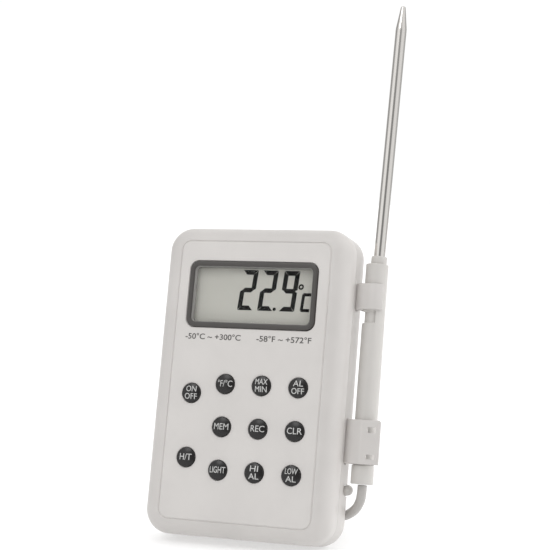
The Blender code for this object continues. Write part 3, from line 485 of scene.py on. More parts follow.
CASE_GREY = (0.546, 0.525, 0.508)
M = {
    "case": surface("case_plastic", CASE_GREY, 0.42, grain=2600, depth=12),
    "panel": surface("panel_plastic", (0.58, 0.559, 0.541), 0.38, grain=3200, depth=6, wear=0.0),
    "handle": surface("handle_plastic", (0.535, 0.518, 0.496), 0.36, grain=2600, depth=8),
    "bezel": surface("bezel_plastic", (0.050, 0.046, 0.043), 0.42, grain=3000, depth=6, wear=0.2),
    "lining": surface("display_lining", (0.23, 0.225, 0.215), 0.45, grain=3000, depth=6,
                      wear=0.0),
    "lcd": surface("lcd_glass", (0.59, 0.572, 0.535), 0.4, mottle=0.01, grain=900, depth=1,
                   wear=0.0, specular=0.15),
    "segments": surface("lcd_segments", (0.012, 0.011, 0.011), 0.5, grain=900, wear=0.0,
                        specular=0.1),
    "ink": surface("grey_ink", (0.07, 0.067, 0.064), 0.55, mottle=0.15, grain=5000, wear=0.0),
    "white_ink": surface("white_ink", (0.52, 0.52, 0.51), 0.5, mottle=0.08, grain=5000, wear=0.0),
    "key": surface("key_plastic", (0.01, 0.009, 0.009), 0.26, grain=2000, depth=4, wear=0.05,
                   coat=0.05, specular=0.36),
    "steel": surface("polished_steel", (0.635, 0.615, 0.59), 0.16, metallic=1.0, mottle=0.03,
                     grain=4000, depth=2, wear=0.0, stretch=(1, 1, 25), spread=0.04),
    "screw": surface("screw_steel", (0.5, 0.5, 0.5), 0.3, metallic=1.0, grain=3000),
    "cord": surface("cord_jacket", (0.41, 0.395, 0.38), 0.48, grain=1800, wear=0.0),
    "rubber": surface("black_rubber", (0.025, 0.025, 0.025), 0.7, depth=20),
    "board": surface("circuit_board", (0.02, 0.16, 0.06), 0.4, grain=900, mottle=0.2),
    "diffuser": surface("white_diffuser", (0.82, 0.84, 0.78), 0.45, grain=1200),
    "epoxy": surface("black_epoxy", (0.015, 0.015, 0.016), 0.2, grain=400, depth=30),
    "brass": surface("brass", (0.72, 0.52, 0.22), 0.3, metallic=1.0),
    "battery": surface("battery_sleeve", (0.10, 0.12, 0.20), 0.3, grain=800, coat=0.3),
}


def clear_material():
    """Acrylic, of a low index so that little behind the thin window is shifted."""
    material = surface("clear_acrylic", (0.97, 0.98, 0.97), 0.04, mottle=0.0, grain=500,
                       depth=0.5, wear=0.0, spread=0.015, transmission=1.0)
    set_inputs(material.node_tree.nodes["Principled BSDF"], {"IOR": 1.12})
    return material


M["clear"] = clear_material()


def show(name, mesh, material, body, nodes=(), matrix=CASE):
    """Puts a mesh in place as a piece that rides on a body and stands for CAD nodes."""
    obj = new_object(name, mesh)
    mesh.materials.clear()
    mesh.materials.append(M[material])
    mesh.transform(matrix)
    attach(obj, body)
    if nodes:
        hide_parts(*nodes)
    return obj


# ---- case

MIDDLE = (0, MIDDLE_Z)
HALF_WIDTH, HALF_HEIGHT = CASE_WIDTH / 2, CASE_HEIGHT / 2
DOOR_RIM = 0.9                 # how deep the door's pins lie under the rear face


def key_holes(radius, rear, sides=64):
    return rods("key_holes", [(radius, (x, FRONT_Y - 1, z), (x, rear, z))
                              for x, z, _ in KEYS.values()], sides)


def at_screws(name, radius, start, end, *end_radius):
    """A rod at each of the case's screws, between two depths."""
    return rods(name, [(radius, (x, start, z), (x, end, z), *end_radius) for x, z in CASE_SCREWS])


def case_body(name, front, rear, front_radius, rear_radius, inside, steps):
    """A shell's outside between two depths, hollowed by a slab of the given depths and radii."""
    outside = slab(name, MIDDLE, HALF_WIDTH, HALF_HEIGHT, CORNER_RADIUS, front, rear, front_radius,
                   rear_radius, steps=steps, segments=16)
    return carve(outside, slab("inside", MIDDLE, HALF_WIDTH - WALL, HALF_HEIGHT - WALL,
                               CORNER_RADIUS - WALL, *inside))


def build_front_shell():
    shell = case_body("front_shell", FRONT_Y, SPLIT_Y, FRONT_RADIUS, SEAM,
                      (INNER_FRONT_Y, 5, FRONT_RADIUS - WALL, 0.2), (14, 3))
    half, rise, corner = PANEL_WIDTH / 2 + GAP, PANEL_HEIGHT / 2 + GAP, PANEL_CORNER + GAP
    pocket = stack("pocket", MIDDLE, [
        (FRONT_Y - 1, half + POCKET_LIP, rise + POCKET_LIP, corner + POCKET_LIP),
        (FRONT_Y + 0.25, half, rise, corner),
        (FRONT_Y + PANEL_THICKNESS + GAP, half, rise, corner)], 12)
    opening = slab("opening", (DISPLAY_X, DISPLAY_Z), BEZEL_WIDTH / 2 - 0.7, BEZEL_HEIGHT / 2 - 0.7,
                   2.4, FRONT_Y - 1, INNER_FRONT_Y + 1, 0.1, 0.1)
    shell = carve(shell, pocket, opening, key_holes(KEY_RADIUS + GAP, INNER_FRONT_Y + 1, 40))
    shell = carve(shell, at_screws("bosses", BOSS_RADIUS, INNER_FRONT_Y - 0.4, SPLIT_Y - 0.001),
                  operation="UNION")
    shell = carve(shell, at_screws("pilots", SCREW_SHANK + GAP, -15.6, 0))
    show("front_cover", shell, "case", "root", ["front_shell"])


def build_rear_shell():
    shell = case_body("rear_shell", SPLIT_Y + SEAM_GAP, 0, SEAM, REAR_RADIUS,
                      (-30, -WALL, 0.2, 0.4), (3, 8))
    recess_low = STAND_PIVOT_Z - STAND_BARREL - GAP
    wide = STAND_HALF_WIDTH + GAP
    body = wide + RECESS_WALL + 0.8
    recess_body = blocks("recess_body", [
        ((-body, -RECESS_DEPTH - RECESS_WALL, recess_low - RECESS_WALL),
         (body, -1.0, RECESS_TOP + RECESS_WALL))])
    bosses = at_screws("bosses", BOSS_RADIUS, SPLIT_Y + GAP + 0.001, -1.0)
    shell = carve(shell, recess_body, bosses, operation="UNION")

    middle_z, rise = (recess_low + RECESS_TOP) / 2, (RECESS_TOP - recess_low) / 2
    recess = stack("recess", (0, middle_z), [
        (-RECESS_DEPTH, wide, rise, 0.6), (-0.3, wide, rise, 0.6),
        (1, wide + 1.3, rise + 1.3, 1.9)], 6)
    notch = rods("finger_notch", [(NOTCH_RADIUS, (0, NOTCH_Y, RECESS_TOP - 1),
                                   (0, NOTCH_Y, RECESS_TOP + 4))])
    pin_holes = rods("pin_holes", [(STAND_PIN + GAP, (-wide - 1.3, STAND_PIVOT_Y, STAND_PIVOT_Z),
                                    (wide + 1.3, STAND_PIVOT_Y, STAND_PIVOT_Z))])
    head, shank = SCREW_HEAD + GAP, SCREW_SHANK + GAP
    shell = carve(shell, recess, notch, pin_holes, at_screws("screw_heads", head, -1.9, 1),
                  at_screws("head_rims", head, -0.3, 0.1, head + GAP),
                  at_screws("screw_shanks", shank, SPLIT_Y - 1, -1))

    side, door_rise = DOOR_HALF_WIDTH + GAP, (DOOR_HIGH - DOOR_LOW) / 2 + GAP
    door_opening = stack("door_opening", (0, (DOOR_LOW + DOOR_HIGH) / 2), [
        (-3, side, door_rise, 0.3), (-0.25, side, door_rise, 0.3),
        (0.75, side + 0.8, door_rise + 0.8, 1.1)], 4)
    axis_z = DOOR_LOW + DOOR_THICKNESS / 2
    door_pins = rods("door_pins", [(0.8, (-side - 1.2, -DOOR_RIM, axis_z),
                                    (side + 1.2, -DOOR_RIM, axis_z))], 24)
    channel = rods("channel", [(GLAND_RADIUS + GAP, GLAND_PLACE - GLAND_DIRECTION * 0.4,
                                GLAND_PLACE + GLAND_DIRECTION * 12)])
    ball = bmesh.new()
    bmesh.ops.create_uvsphere(ball, u_segments=40, v_segments=24, radius=(GLAND_RADIUS + GAP) * MM,
                              matrix=moved(*GLAND_PLACE))
    half, web_y = CLIP_WEB / 2 + GAP, PROBE_Y - CLIP_SHIFT
    slots = blocks("slots", [((HALF_WIDTH - 3.5, web_y - half, low - GAP),
                              (HALF_WIDTH + 2, web_y + half, high + GAP))
                             for low, high in (UPPER_CLIP, LOWER_CLIP)])
    shell = carve(shell, door_opening, door_pins, channel, mesh_from(ball, "ball"), slots)
    show("rear_cover", shell, "case", "root", ["rear_shell"])


def build_panel():
    half, rise, rear = PANEL_WIDTH / 2, PANEL_HEIGHT / 2, FRONT_Y + PANEL_THICKNESS
    sections = quarter(FRONT_Y, FRONT_Y + 0.2, half + 0.05, rise + 0.05, PANEL_CORNER, 0.25, 4)
    sections += [(depth, half + 0.26, rise + 0.26, PANEL_CORNER + 0.2)
                 for depth in (FRONT_Y + 0.22, rear)]
    width, height = BEZEL_WIDTH / 2 + GAP, BEZEL_HEIGHT / 2 + GAP
    opening = stack("opening", (DISPLAY_X, DISPLAY_Z), [
        (FRONT_Y - 1, width + 1.15, height + 1.15, 4.45),
        (FRONT_Y + 0.15, width, height, 3.3), (FRONT_Y + 3, width, height, 3.3)], 12)
    chamfers = rods("key_chamfers", [(KEY_HOLE + KEY_CHAMFER, (x, FRONT_Y - 0.05, z),
                                      (x, FRONT_Y + 0.1, z), KEY_HOLE)
                                     for x, z, _ in KEYS.values()], 64)
    panel = carve(stack("panel", MIDDLE, sections, 12), opening, key_holes(KEY_HOLE, FRONT_Y + 3),
                  chamfers)
    show("front_panel", panel, "panel", "root", ["face_panel"])


def build_bezel():
    centre = (DISPLAY_X, DISPLAY_Z)
    width, height = BEZEL_WIDTH / 2, BEZEL_HEIGHT / 2
    front, ring_rear = FRONT_Y - BEZEL_PROUD, FRONT_Y + PANEL_THICKNESS
    view = (width - BEZEL_RIM, height - BEZEL_RIM)
    sections = [(front + 0.3, *view, 1.7),
                (front + 0.08, view[0] + 0.1, view[1] + 0.1, 1.8),
                (front, view[0] + 0.3, view[1] + 0.3, 2.0),
                (front, width - 0.3, height - 0.3, 2.7),
                (front + 0.08, width - 0.08, height - 0.08, 2.92),
                (front + 0.3, width, height, 3.0),
                (ring_rear, width, height, 3.0),
                (ring_rear, width - 1, height - 1, 2.1),
                (INNER_FRONT_Y, width - 1, height - 1, 2.1),
                (INNER_FRONT_Y, *view, 1.7)]
    show("display_frame", stack("display_frame", centre, sections, 12, wrap=True), "bezel", "root",
         ["display_bezel"])
    outer, inner = 0.01, 0.16      # the lining's faces, as insets from the view
    lining = [(depth, view[0] - inset, view[1] - inset, 1.7 - inset)
              for depth, inset in ((FRONT_Y + 0.05, outer), (INNER_FRONT_Y, outer),
                                   (INNER_FRONT_Y, inner), (FRONT_Y + 0.15, inner))]
    show("display_lining", stack("display_lining", centre, lining, 12, wrap=True), "lining",
         "root")


# ---- display

LCD_FRONT = INNER_FRONT_Y + GAP
DIGIT_HEIGHT, DIGIT_WIDTH, STROKE, SLANT = 14.2, 5.75, 1.65, 0.085
SEGMENT_GAP, SEGMENT_CLIP, SEGMENT_PROUD = 0.01, 0.12, 0.03
SEGMENTS = {"2": "abged", "9": "abcdfg"}
DIGITS = (("2", -6.15), ("2", 1.33), ("9", 9.25))      # with each one's left edge
DIGIT_LOW = 79.0
POINT_PLACE, POINT_RADIUS = (7.65, DIGIT_LOW + 0.65), 0.62
UNIT_LEFT, UNIT_WIDTH, UNIT_HEIGHT, UNIT_STROKE = 17.0, 3.9, 6.6, 1.1
DEGREE_PLACE, DEGREE_OUTER, DEGREE_INNER = (UNIT_LEFT - 0.1, DIGIT_LOW + 8.7), 1.0, 0.42


def segment_outline(kind):
    """One stroke of a seven-segment digit, as points in the digit's own upright frame."""
    w, h, s, g, clip = DIGIT_WIDTH, DIGIT_HEIGHT, STROKE, SEGMENT_GAP, SEGMENT_CLIP
    half, middle = s / 2, h / 2
    if kind in "ad":
        y0, y1 = (h, h - s) if kind == "a" else (0, s)
        return [(g + clip, y0), (w - g - clip, y0), (w - g - s, y1), (g + s, y1)]
    if kind == "g":
        return [(g + half, middle), (g + s, middle + half), (w - g - s, middle + half),
                (w - g - half, middle), (w - g - s, middle - half), (g + s, middle - half)]
    x0, x1 = (0, s) if kind in "fe" else (w, w - s)
    if kind in "fb":
        return [(x0, h - clip - g), (x1, h - s - g), (x1, middle + half + g),
                ((x0 + x1) / 2, middle + g), (x0, middle + half * 0.6 + g)]
    return [(x0, clip + g), (x1, s + g), (x1, middle - half - g),
            ((x0 + x1) / 2, middle - g), (x0, middle - half * 0.6 - g)]


def build_display():
    centre = (DISPLAY_X, DISPLAY_Z)
    window = slab("window", centre, BEZEL_WIDTH / 2 - BEZEL_RIM - GAP,
                  BEZEL_HEIGHT / 2 - BEZEL_RIM - GAP, 1.4, INNER_FRONT_Y - 0.9,
                  INNER_FRONT_Y - 0.3, 0.08, 0.08, steps=(2, 2))
    show("clear_window", window, "clear", "root", ["display_window"])
    glass = slab("glass", centre, 23, 11, 0.4, LCD_FRONT, LCD_FRONT + 2, 0.1, 0.1, steps=(2, 2))
    show("lcd_glass", glass, "lcd", "root", ["lcd_cell"])

    bm = bmesh.new()

    def place(points, left, low):
        corners = [bm.verts.new(Vector((left + x + SLANT * z, LCD_FRONT - 0.01, low + z)) * MM)
                   for x, z in points]
        lifted = bmesh.ops.extrude_face_region(bm, geom=[bm.faces.new(corners)])["geom"]
        for vert in lifted:
            if isinstance(vert, bmesh.types.BMVert):
                vert.co.y -= SEGMENT_PROUD * MM

    for digit, left in DIGITS:
        for kind in SEGMENTS[digit]:
            place(segment_outline(kind), left, DIGIT_LOW)
    place(arc((0, 0), POINT_RADIUS, 0, 330, 12), *POINT_PLACE)
    thin, tall = UNIT_STROKE, UNIT_HEIGHT
    place([(0, 0.35), (thin, 0.95), (thin, tall - 0.95), (0, tall - 0.35)], UNIT_LEFT, DIGIT_LOW)
    for level, reach in ((0, UNIT_WIDTH - 0.5), (tall - thin, UNIT_WIDTH)):
        place([(0.35, level), (reach, level), (reach, level + thin), (0.35, level + thin)],
              UNIT_LEFT, DIGIT_LOW)
    outer, inner = (arc((0, 0), radius, 0, 360, 25) for radius in (DEGREE_OUTER, DEGREE_INNER))
    for i in range(24):
        place([outer[i], outer[i + 1], inner[i + 1], inner[i]], *DEGREE_PLACE)
    show("lcd_digits", mesh_from(bm, "lcd_digits"), "segments", "root")


def lettering(name, text, size, place, depth, material, body, width, shift=(0, 0),
              shape=None, bold=0.0, thick=0.01):
    """Printed text: a thin solid of a set width lying on the face, centred on its place."""
    curve = bpy.data.curves.new(name, "FONT")
    curve.body = text
    curve.size = size
    curve.align_x, curve.align_y = "CENTER", "CENTER"
    curve.extrude = thick
    curve.offset = bold
    curve.resolution_u = 4
    guide = new_object(name, curve)
    mesh = evaluated(guide)
    bpy.data.objects.remove(guide)
    across = [vert.co.x for vert in mesh.vertices]
    middle, squeeze = (max(across) + min(across)) / 2, width / (max(across) - min(across))
    for vert in mesh.vertices:
        x, y, z = vert.co
        x, y = (x - middle) * squeeze + shift[0], y + shift[1]
        proud = shape(math.hypot(x, y)) if shape else 0
        vert.co = Vector((place[0] + x, depth - proud - z, place[1] + y)) * MM
    show(name, mesh, material, body)


SCALE_TEXTS = (("scale_text_c", "-50°C ~ +300°C", -23.6, -2.8),     # with its left and right ends
               ("scale_text_f", "-58°F ~ +572°F", 3.1, 23.1))
SCALE_TEXT_SIZE, SCALE_TEXT_Z = 2.8, 68.72


def build_scale_text():
    for name, text, low, high in SCALE_TEXTS:
        lettering(name, text, SCALE_TEXT_SIZE, ((low + high) / 2, SCALE_TEXT_Z), FRONT_Y - 0.02,
                  "ink", "root", high - low, bold=0.035)


# ---- keys

LEGEND_WIDTHS = {"ON": 3.7, "OFF": 4.5, "°F/°C": 5.3, "MAX": 4.4, "MIN": 4.2, "AL": 3.6,
                 "MEM": 5.2, "REC": 4.9, "CLR": 5.3, "H/T": 4.3, "LIGHT": 5.6, "HI": 2.9,
                 "LOW": 4.4}
LEGEND_LAYOUTS = {1: (3.1, (0.0,)), 2: (2.85, (1.3, -1.3))}     # by lines: size, heights
LEGEND_RIGHT, LEGEND_THICKNESS = 0.2, 0.07


def dome(radius):
    """How far a key's cap stands out of the face at a distance from its middle."""
    share = min(radius / KEY_RADIUS, 1)
    return KEY_PROUD - 0.6 * share ** 2.2


def build_keys():
    flange = -FRONT_WALL - GAP
    base = flange - KEY_FLANGE_THICKNESS
    profile = [(radius, dome(radius)) for radius in (KEY_RADIUS * 0.08 * i for i in range(13))]
    profile += [(KEY_RADIUS * 0.99, dome(KEY_RADIUS) - 0.1), (KEY_RADIUS, KEY_PROUD - 0.85),
                (KEY_RADIUS, flange), (KEY_FLANGE, flange), (KEY_FLANGE, base), (0.0, base)]
    for name, (x, z, lines) in KEYS.items():
        place = CASE @ moved(x, FRONT_Y, z) @ Matrix.Rotation(math.pi / 2, 4, "X")
        show(name + "_cap", turned(name + "_cap", profile, 56), "key", name, [name], place)
        size, heights = LEGEND_LAYOUTS[len(lines)]
        for row, (text, rise) in enumerate(zip(lines, heights), 1):
            lettering(f"{name}_legend_{row}", text, size, (x, z), FRONT_Y - 0.03, "white_ink",
                      name, LEGEND_WIDTHS[text], (LEGEND_RIGHT, rise), dome,
                      thick=LEGEND_THICKNESS)


# ---- probe and clips

CLIP_MIDDLE, CLIP_HALF_BAND = (CLIP_INNER + CLIP_OUTER) / 2, (CLIP_OUTER - CLIP_INNER) / 2
CLIP_OPEN_FROM = 60            # degrees at which the band ends behind the probe


def band_end(angle):
    """The middle of the clip's band at an angle round the probe."""
    return (PROBE_X + CLIP_MIDDLE * math.cos(math.radians(angle)),
            PROBE_Y + CLIP_MIDDLE * math.sin(math.radians(angle)))


def clip_outline(end_angle, lip_end):
    """A web from the case's side, and a band round the probe to an angle or to a straight lip."""
    centre = (PROBE_X, PROBE_Y)
    web_y = PROBE_Y - CLIP_SHIFT
    web_front, web_rear = web_y - CLIP_WEB / 2, web_y + CLIP_WEB / 2
    wall, root, fillet = HALF_WIDTH + 0.02, HALF_WIDTH - 2.6, 0.9
    rear_angle = 180 - math.degrees(math.asin((web_rear - PROBE_Y) / CLIP_OUTER))
    outline = [(root, web_front), (root, web_rear), (wall, web_rear)]
    outline += arc((wall + fillet, web_rear + fillet), fillet, 180, 270, 6)
    outline += arc(centre, CLIP_OUTER, rear_angle, CLIP_OPEN_FROM, 30)
    outline += arc(band_end(CLIP_OPEN_FROM), CLIP_HALF_BAND, CLIP_OPEN_FROM, CLIP_OPEN_FROM - 180,
                   7)[1:-1]
    outline += arc(centre, CLIP_INNER, CLIP_OPEN_FROM, end_angle, 44)
    if lip_end:
        outline += arc((lip_end - CLIP_HALF_BAND, PROBE_Y - CLIP_MIDDLE), CLIP_HALF_BAND, 90, -90,
                       7)
    else:
        outline += arc(band_end(end_angle), CLIP_HALF_BAND, end_angle + 180, end_angle, 7)[1:-1]
    outline += arc(centre, CLIP_OUTER, end_angle, 255, 8 if lip_end else 30)
    outline += [*CLIP_FRONT, (wall, CLIP_FRONT[-1][1] + 0.6), (wall, web_front)]
    return outline


def build_clips():
    upper = extruded("upper_clip", clip_outline(318, None), *UPPER_CLIP)
    show("upper_probe_clip", upper, "case", "root", ["upper_clip"])
    windows = [((PROBE_X + 2.1, -12, low), (PROBE_X + 5.1, PROBE_Y - CLIP_INNER + 0.8, high))
               for low, high in CLIP_WINDOWS]
    corner = blocks("corner", [((-1.6, -3, -1.6), (1.6, 3, 1.6))])    # slants the lip's upper end
    corner.transform(moved(CLIP_LIP_END + 0.8, PROBE_Y - CLIP_OUTER, LOWER_CLIP[1] + 0.8)
                     @ Matrix.Rotation(math.pi / 4, 4, "Y"))
    lower = carve(extruded("lower_clip", clip_outline(270, CLIP_LIP_END), *LOWER_CLIP),
                  blocks("windows", windows), corner)
    show("lower_probe_clip", lower, "case", "root", ["lower_clip"])


def ring_piece(name, node, profile, radius, matrix, steps=4):
    """A piece of the probe turned from an open profile whose corners are rounded, then closed."""
    profile = round_corners(profile, radius, steps)
    show(name, turned(name, profile + profile[:1]), "handle", "probe", [node], matrix)


def build_probe():
    axis = CASE @ moved(PROBE_X, PROBE_Y, 0)
    lean = (axis @ moved(STEM_OFFSET, 0, HANDLE_TOP) @ Matrix.Rotation(STEM_TILT, 4, "Y")
            @ moved(0, 0, -HANDLE_TOP))
    taper_low = STEM_TIP - STEM_TAPER
    stem = [(0.0, STEM_TIP)]
    stem += [(TIP_RADIUS * math.sin(a), STEM_TIP - TIP_ROUND * (1 - math.cos(a)))
             for a in (math.radians(15 * i) for i in range(1, 7))]
    stem += [(STEM_RADIUS - 0.04, taper_low + 0.5), (STEM_RADIUS, taper_low - 0.3),
             (STEM_RADIUS, STEM_LOW), (STEM_BORE, STEM_LOW), (STEM_BORE, taper_low - 1),
             (0.0, taper_low + 1)]
    show("stem_tube", turned("stem_tube", stem, 72, 40), "steel", "probe",
         ["probe_stem"], lean)
    seat, grip, collar_low = STEM_RADIUS + GAP, STEM_RADIUS + 0.02, COLLAR_LOW - 0.2
    ring_piece("stem_collar", "probe_collar", [
        (grip, COLLAR_HIGH), (COLLAR_RADIUS, COLLAR_HIGH), (COLLAR_RADIUS, collar_low),
        (seat, collar_low), (grip, COLLAR_HIGH - 1)], 0.2, lean)

    handle = round_corners([(BORE_RADIUS, HANDLE_TOP), (HANDLE_RADIUS, HANDLE_TOP),
                            (HANDLE_RADIUS, NECK_HIGH), (NECK_RADIUS, NECK_HIGH - 0.2),
                            (NECK_RADIUS, NECK_LOW + 0.2), (HANDLE_RADIUS, NECK_LOW),
                            (HANDLE_RADIUS, HANDLE_LOW), (BORE_RADIUS, HANDLE_LOW)], 0.35)
    body = turned("handle", handle + handle[:1])
    radius = HANDLE_RADIUS - 0.05
    side = math.degrees(math.acos(NECK_FLAT / radius))
    rib = extruded("rib", arc((0, 0), radius, -side, side, 25), NECK_LOW - 0.8, NECK_HIGH + 0.8)
    bore = rods("bore", [(seat, (0, 0, STEM_LOW - 1), (0, 0, HANDLE_TOP + 2))])
    bore.transform(axis.inverted() @ lean)
    body = carve(carve(body, rib, operation="UNION"), bore)
    show("handle_body", body, "handle", "probe", ["probe_handle"], axis)

    top, cord_hole = HANDLE_LOW - GAP, CORD_RADIUS + GAP
    ring_piece("end_cap", "handle_end_cap", [
        (BORE_RADIUS, top), (END_CAP_RADIUS, top), (END_CAP_RADIUS, END_CAP_LOW),
        (cord_hole, END_CAP_LOW), (cord_hole, END_CAP_LOW + 3), (BORE_RADIUS, END_CAP_LOW + 3)],
        0.5, axis, 6)


# ---- back: door, stand, screws

def build_door():
    half = DOOR_THICKNESS / 2
    axis_z = DOOR_LOW + half
    height = DOOR_HIGH - axis_z
    outline = arc((0, 0), half, 180, 360, 13)
    outline += [(DOOR_RIM, 0.9), (DOOR_RIM, height - 0.2), (DOOR_RIM - 0.2, height),
                (DOOR_RIM - DOOR_THICKNESS, height), (DOOR_RIM - DOOR_THICKNESS, 0.9)]
    mesh = extruded("door", outline, -DOOR_HALF_WIDTH, DOOR_HALF_WIDTH,
                    lambda u, v, w: (w, u - DOOR_RIM, v + axis_z), 0.15, 2)
    pins = [(0.5, (start, -DOOR_RIM, axis_z), (end, -DOOR_RIM, axis_z))
            for start, end in ((-DOOR_HALF_WIDTH - 1.2, -DOOR_HALF_WIDTH + 2),
                               (DOOR_HALF_WIDTH - 2, DOOR_HALF_WIDTH + 1.2))]
    mesh = carve(mesh, rods("pins", pins, 24), operation="UNION")
    grooves = [(0.6, (-reach, 0.3, z), (reach, 0.3, z)) for reach, z in
               ((7.5 - 0.6 * row, DOOR_HIGH - 3.2 - 1.5 * row) for row in range(4))]
    mesh = carve(mesh, rods("grip", grooves, 24))
    show("battery_cover", mesh, "case", "battery_door", ["battery_door"])


def build_stand():
    pivot = in_world((0, STAND_PIVOT_Y, STAND_PIVOT_Z))
    slope = math.asin(pivot.z / (STAND_LENGTH * MM))
    turn = Matrix.Translation(pivot) @ Matrix.Rotation(-slope, 4, "X")
    half = STAND_THICKNESS / 2
    run = half / math.tan(slope)
    side = math.degrees(math.asin(half / STAND_BARREL))
    toe = 0.35                 # how far the foot's point is cut back, as a share of its run
    outline = arc((0, 0), STAND_BARREL, side, 360 - side, 25)
    outline += [(STAND_LENGTH - run, -half), (STAND_LENGTH + toe * run, toe * half),
                (STAND_LENGTH + toe * run, half)]
    mesh = extruded("stand", outline, -STAND_HALF_WIDTH, STAND_HALF_WIDTH,
                    lambda u, v, w: (w, u, v), 0.25, 3)
    relief = STAND_HALF_WIDTH - 2.2
    mesh = carve(mesh, rods("bore", [(STAND_PIN + GAP, (-20, 0, 0), (20, 0, 0))], 32),
                 blocks("relief", [((-relief, 5, -half - 1), (relief, 33, -half + 0.5))]))
    show("stand_leg", mesh, "case", "tilt_stand", ["tilt_stand"], turn)


def build_screws():
    profile = round_corners([(0.0, 1.15), (SCREW_HEAD * 0.75, 1.0), (SCREW_HEAD, 0.45),
                             (SCREW_HEAD, 0.0), (SCREW_SHANK, 0.0), (SCREW_SHANK, -9.7),
                             (0.0, -10.5)], 0.12)
    slot_reach, slot_half, slot_low = 1.3, 0.28, 0.35
    for number, (x, z) in enumerate(CASE_SCREWS, 1):
        mesh = turned("screw", profile, 40)
        for across, up in ((slot_half, slot_reach), (slot_reach, slot_half)):
            mesh = carve(mesh, blocks("slot", [((-across, -up, slot_low), (across, up, 2))]))
        place = CASE @ moved(x, SCREW_SEAT_Y, z) @ Matrix.Rotation(-math.pi / 2, 4, "X")
        show(f"rear_screw_{number}", mesh, "screw", "root", [f"case_screw_{number}"],
             place)


# ---- cord

def build_gland():
    turn = GLAND_DIRECTION.to_track_quat("Z", "Y").to_matrix().to_4x4()
    place = CASE @ moved(*GLAND_PLACE) @ turn
    hole = CORD_RADIUS + 0.02
    profile = [(0.0, GLAND_LENGTH - 1), (hole, GLAND_LENGTH - 1), (hole, GLAND_LENGTH),
               (GLAND_RADIUS - 0.1, GLAND_LENGTH)]
    for ring in range(4):
        top = GLAND_LENGTH - 1.3 - 1.1 * ring
        profile += [(GLAND_RADIUS - 0.08, top), (GLAND_RADIUS - 0.25, top - 0.2),
                    (GLAND_RADIUS - 0.25, top - 0.5), (GLAND_RADIUS - 0.07, top - 0.7)]
    profile += [(GLAND_RADIUS * math.cos(a), GLAND_RADIUS * math.sin(a))
                for a in (math.radians(-7.5 * i) for i in range(12))]
    profile.append((0.0, -GLAND_RADIUS))
    return show("strain_relief", turned("strain_relief", profile, 48), "handle", "root",
                ["cord_gland"], place)


CURVE_STEPS = 10


def through(points):
    """A Catmull-Rom curve through points."""
    padded = [2 * points[0] - points[1], *points, 2 * points[-1] - points[-2]]
    dense = []
    for a, b, c, d in zip(padded, padded[1:], padded[2:], padded[3:]):
        for t in (step / CURVE_STEPS for step in range(CURVE_STEPS)):
            dense.append(0.5 * (2 * b + (c - a) * t + (2 * a - 5 * b + 4 * c - d) * t ** 2
                                + (3 * b - a - 3 * c + d) * t ** 3))
    return dense + points[-1:]


# The coil's turns, as (column, row) across its section: column 2 is outermost and row 0 is on the
# floor. Each change of place has its own part of the turn, so that a strand moves out before the
# next moves in.
COIL_PLACES = ((2, 0), (1, 0), (0, 0), (0, 1), (0, 2), (1, 2), (1, 1), (2, 1))
COIL_CHANGES = (0.79, 0.79, 0.60, 0.60, 0.41, 0.22, 0.03)
CHANGE_SHARE = 0.18
STEPS_PER_TURN = 40
LAST_SHARE = 0.75              # how much of its last turn the cord makes
TIE_ANGLE, TIE_SPREAD = math.radians(90), 0.55


def eased(value):
    value = min(max(value, 0.0), 1.0)
    return value * value * (3 - 2 * value)


def coil_points():
    """Clockwise turns from the coil's front to its right side, on the floor but for the tie."""
    pitch = 2 * CORD_RADIUS
    lift = COIL_LOW + CORD_RADIUS - FLOOR_LINE
    points = []
    for step in range(round((len(COIL_PLACES) - 1 + LAST_SHARE) * STEPS_PER_TURN) + 1):
        turn, share = divmod(step / STEPS_PER_TURN, 1)
        turn = int(turn)
        column, row = COIL_PLACES[turn]
        if turn < len(COIL_CHANGES):
            ease = eased((share - COIL_CHANGES[turn]) / CHANGE_SHARE)
            column += (COIL_PLACES[turn + 1][0] - column) * ease
            row += (COIL_PLACES[turn + 1][1] - row) * ease
        radius = COIL_TURN_RADIUS + (column - 1) * pitch
        angle = math.radians(-90) - 2 * math.pi * share
        from_tie = math.remainder(angle - TIE_ANGLE, 2 * math.pi)
        over_tie = math.exp(-(from_tie / TIE_SPREAD) ** 2)
        points.append(Vector((COIL_X + radius * math.cos(angle),
                              COIL_Y + radius * math.sin(angle),
                              FLOOR_LINE + row * pitch + lift * over_tie)))
    return points


def sweep(name, points, radius, sides=14):
    """A round tube through points, with parallel-carried sides and closed ends."""
    bm = bmesh.new()
    tangents = [(b - a).normalized() for a, b in zip(points, points[1:])]
    directions = [tangents[0]] + [(a + b).normalized() for a, b in zip(tangents, tangents[1:])]
    directions.append(tangents[-1])
    normal = directions[0].orthogonal().normalized()
    rings = []
    for point, direction in zip(points, directions):
        normal = (normal - direction * normal.dot(direction)).normalized()
        side = direction.cross(normal)
        rings.append([bm.verts.new((point + (normal * math.cos(a) + side * math.sin(a)) * radius)
                                   * MM) for a in (2 * math.pi * i / sides for i in range(sides))])
    bridge(bm, rings)
    bm.faces.new(reversed(rings[0]))
    bm.faces.new(rings[-1])
    return mesh_from(bm, name, 60)


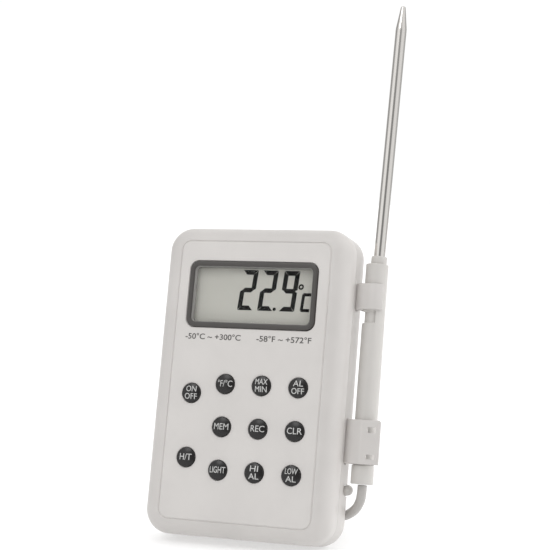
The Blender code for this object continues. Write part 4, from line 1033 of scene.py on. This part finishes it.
def build_cord():
    into_coil = [Vector(p) for p in ROUTE_FROM_CASE]
    coil = coil_points()
    last = coil[-1]
    off_coil = [last + Vector((0.15, -4.0, -0.1)), last + Vector((1.4, -8.2, -1.5))]
    to_probe = [Vector(p) for p in ROUTE_TO_PROBE]
    # The coil's points lead each curve round, but the curve is kept only up to the coil's end.
    lead = 2
    route = through(into_coil + coil[:lead + 1])[:-lead * CURVE_STEPS] + coil[lead:-lead]
    route += through(coil[-lead - 1:] + off_coil + to_probe)[lead * CURVE_STEPS:]
    mesh = sweep("cord", route, CORD_RADIUS)
    cord = new_object("probe_cord", mesh)
    mesh.materials.append(M["cord"])
    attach(cord, "root")
    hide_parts("cord_from_case", "cord_coil", "cord_to_probe")
    tie = build_tie()


def build_tie():
    reach, thick, half, edge = 5.3, 0.5, 3.0, 0.15
    low, high = COIL_LOW - GAP, COIL_LOW + COIL_HEIGHT + GAP
    middle, rise = (low + high) / 2, (high - low) / 2
    outside, inside = (reach + thick, rise + thick, 2.2), (reach, rise, 1.8)
    bm = bmesh.new()
    loops = []
    for x, inset, (width, height, corner) in (
            (-half, 0.1, outside), (-half + edge, 0.0, outside), (half - edge, 0.0, outside),
            (half, 0.1, outside), (half, 0.0, inside), (-half, 0.0, inside)):
        outline = rounded_rectangle(width - inset, height - inset, corner, 6)
        loops.append([bm.verts.new(Vector((COIL_X + x, COIL_Y + COIL_MEAN_RADIUS + u, middle + v))
                                   * MM) for u, v in outline])
    bridge(bm, loops, wrap=True)
    return show("coil_band", mesh_from(bm, "coil_band"), "rubber", "root",
                ["coil_tie"], Matrix.Identity(4))


# ---- CAD nodes that stay

CAD_LOOKS = {"diffuser": ("lcd_holder", "backlight_plate"),
             "rubber": ("contact_strip", "keypad_mat", "sensor_leads"),
             "board": ("main_board",), "epoxy": ("controller_blob",), "case": ("battery_cradle",),
             "brass": ("piezo_buzzer", "sensor_bead"), "battery": ("battery",),
             "screw": ("crystal", "positive_contact", "negative_spring", "stand_pin",
                       "board_screw_1", "board_screw_2")}


def finish_cad_nodes():
    for material, nodes in CAD_LOOKS.items():
        for node in nodes:
            mesh = frame["nodes"][node].data
            mesh.materials.clear()
            mesh.materials.append(M[material])
            finish_mesh(mesh, 35)


add_camera()
cord_gland = build_gland()
build_cord()
add_stage()
build_front_shell()
build_rear_shell()
build_panel()
build_bezel()
build_display()
build_scale_text()
build_keys()
build_clips()
build_probe()
build_door()
build_stand()
build_screws()
finish_cad_nodes()
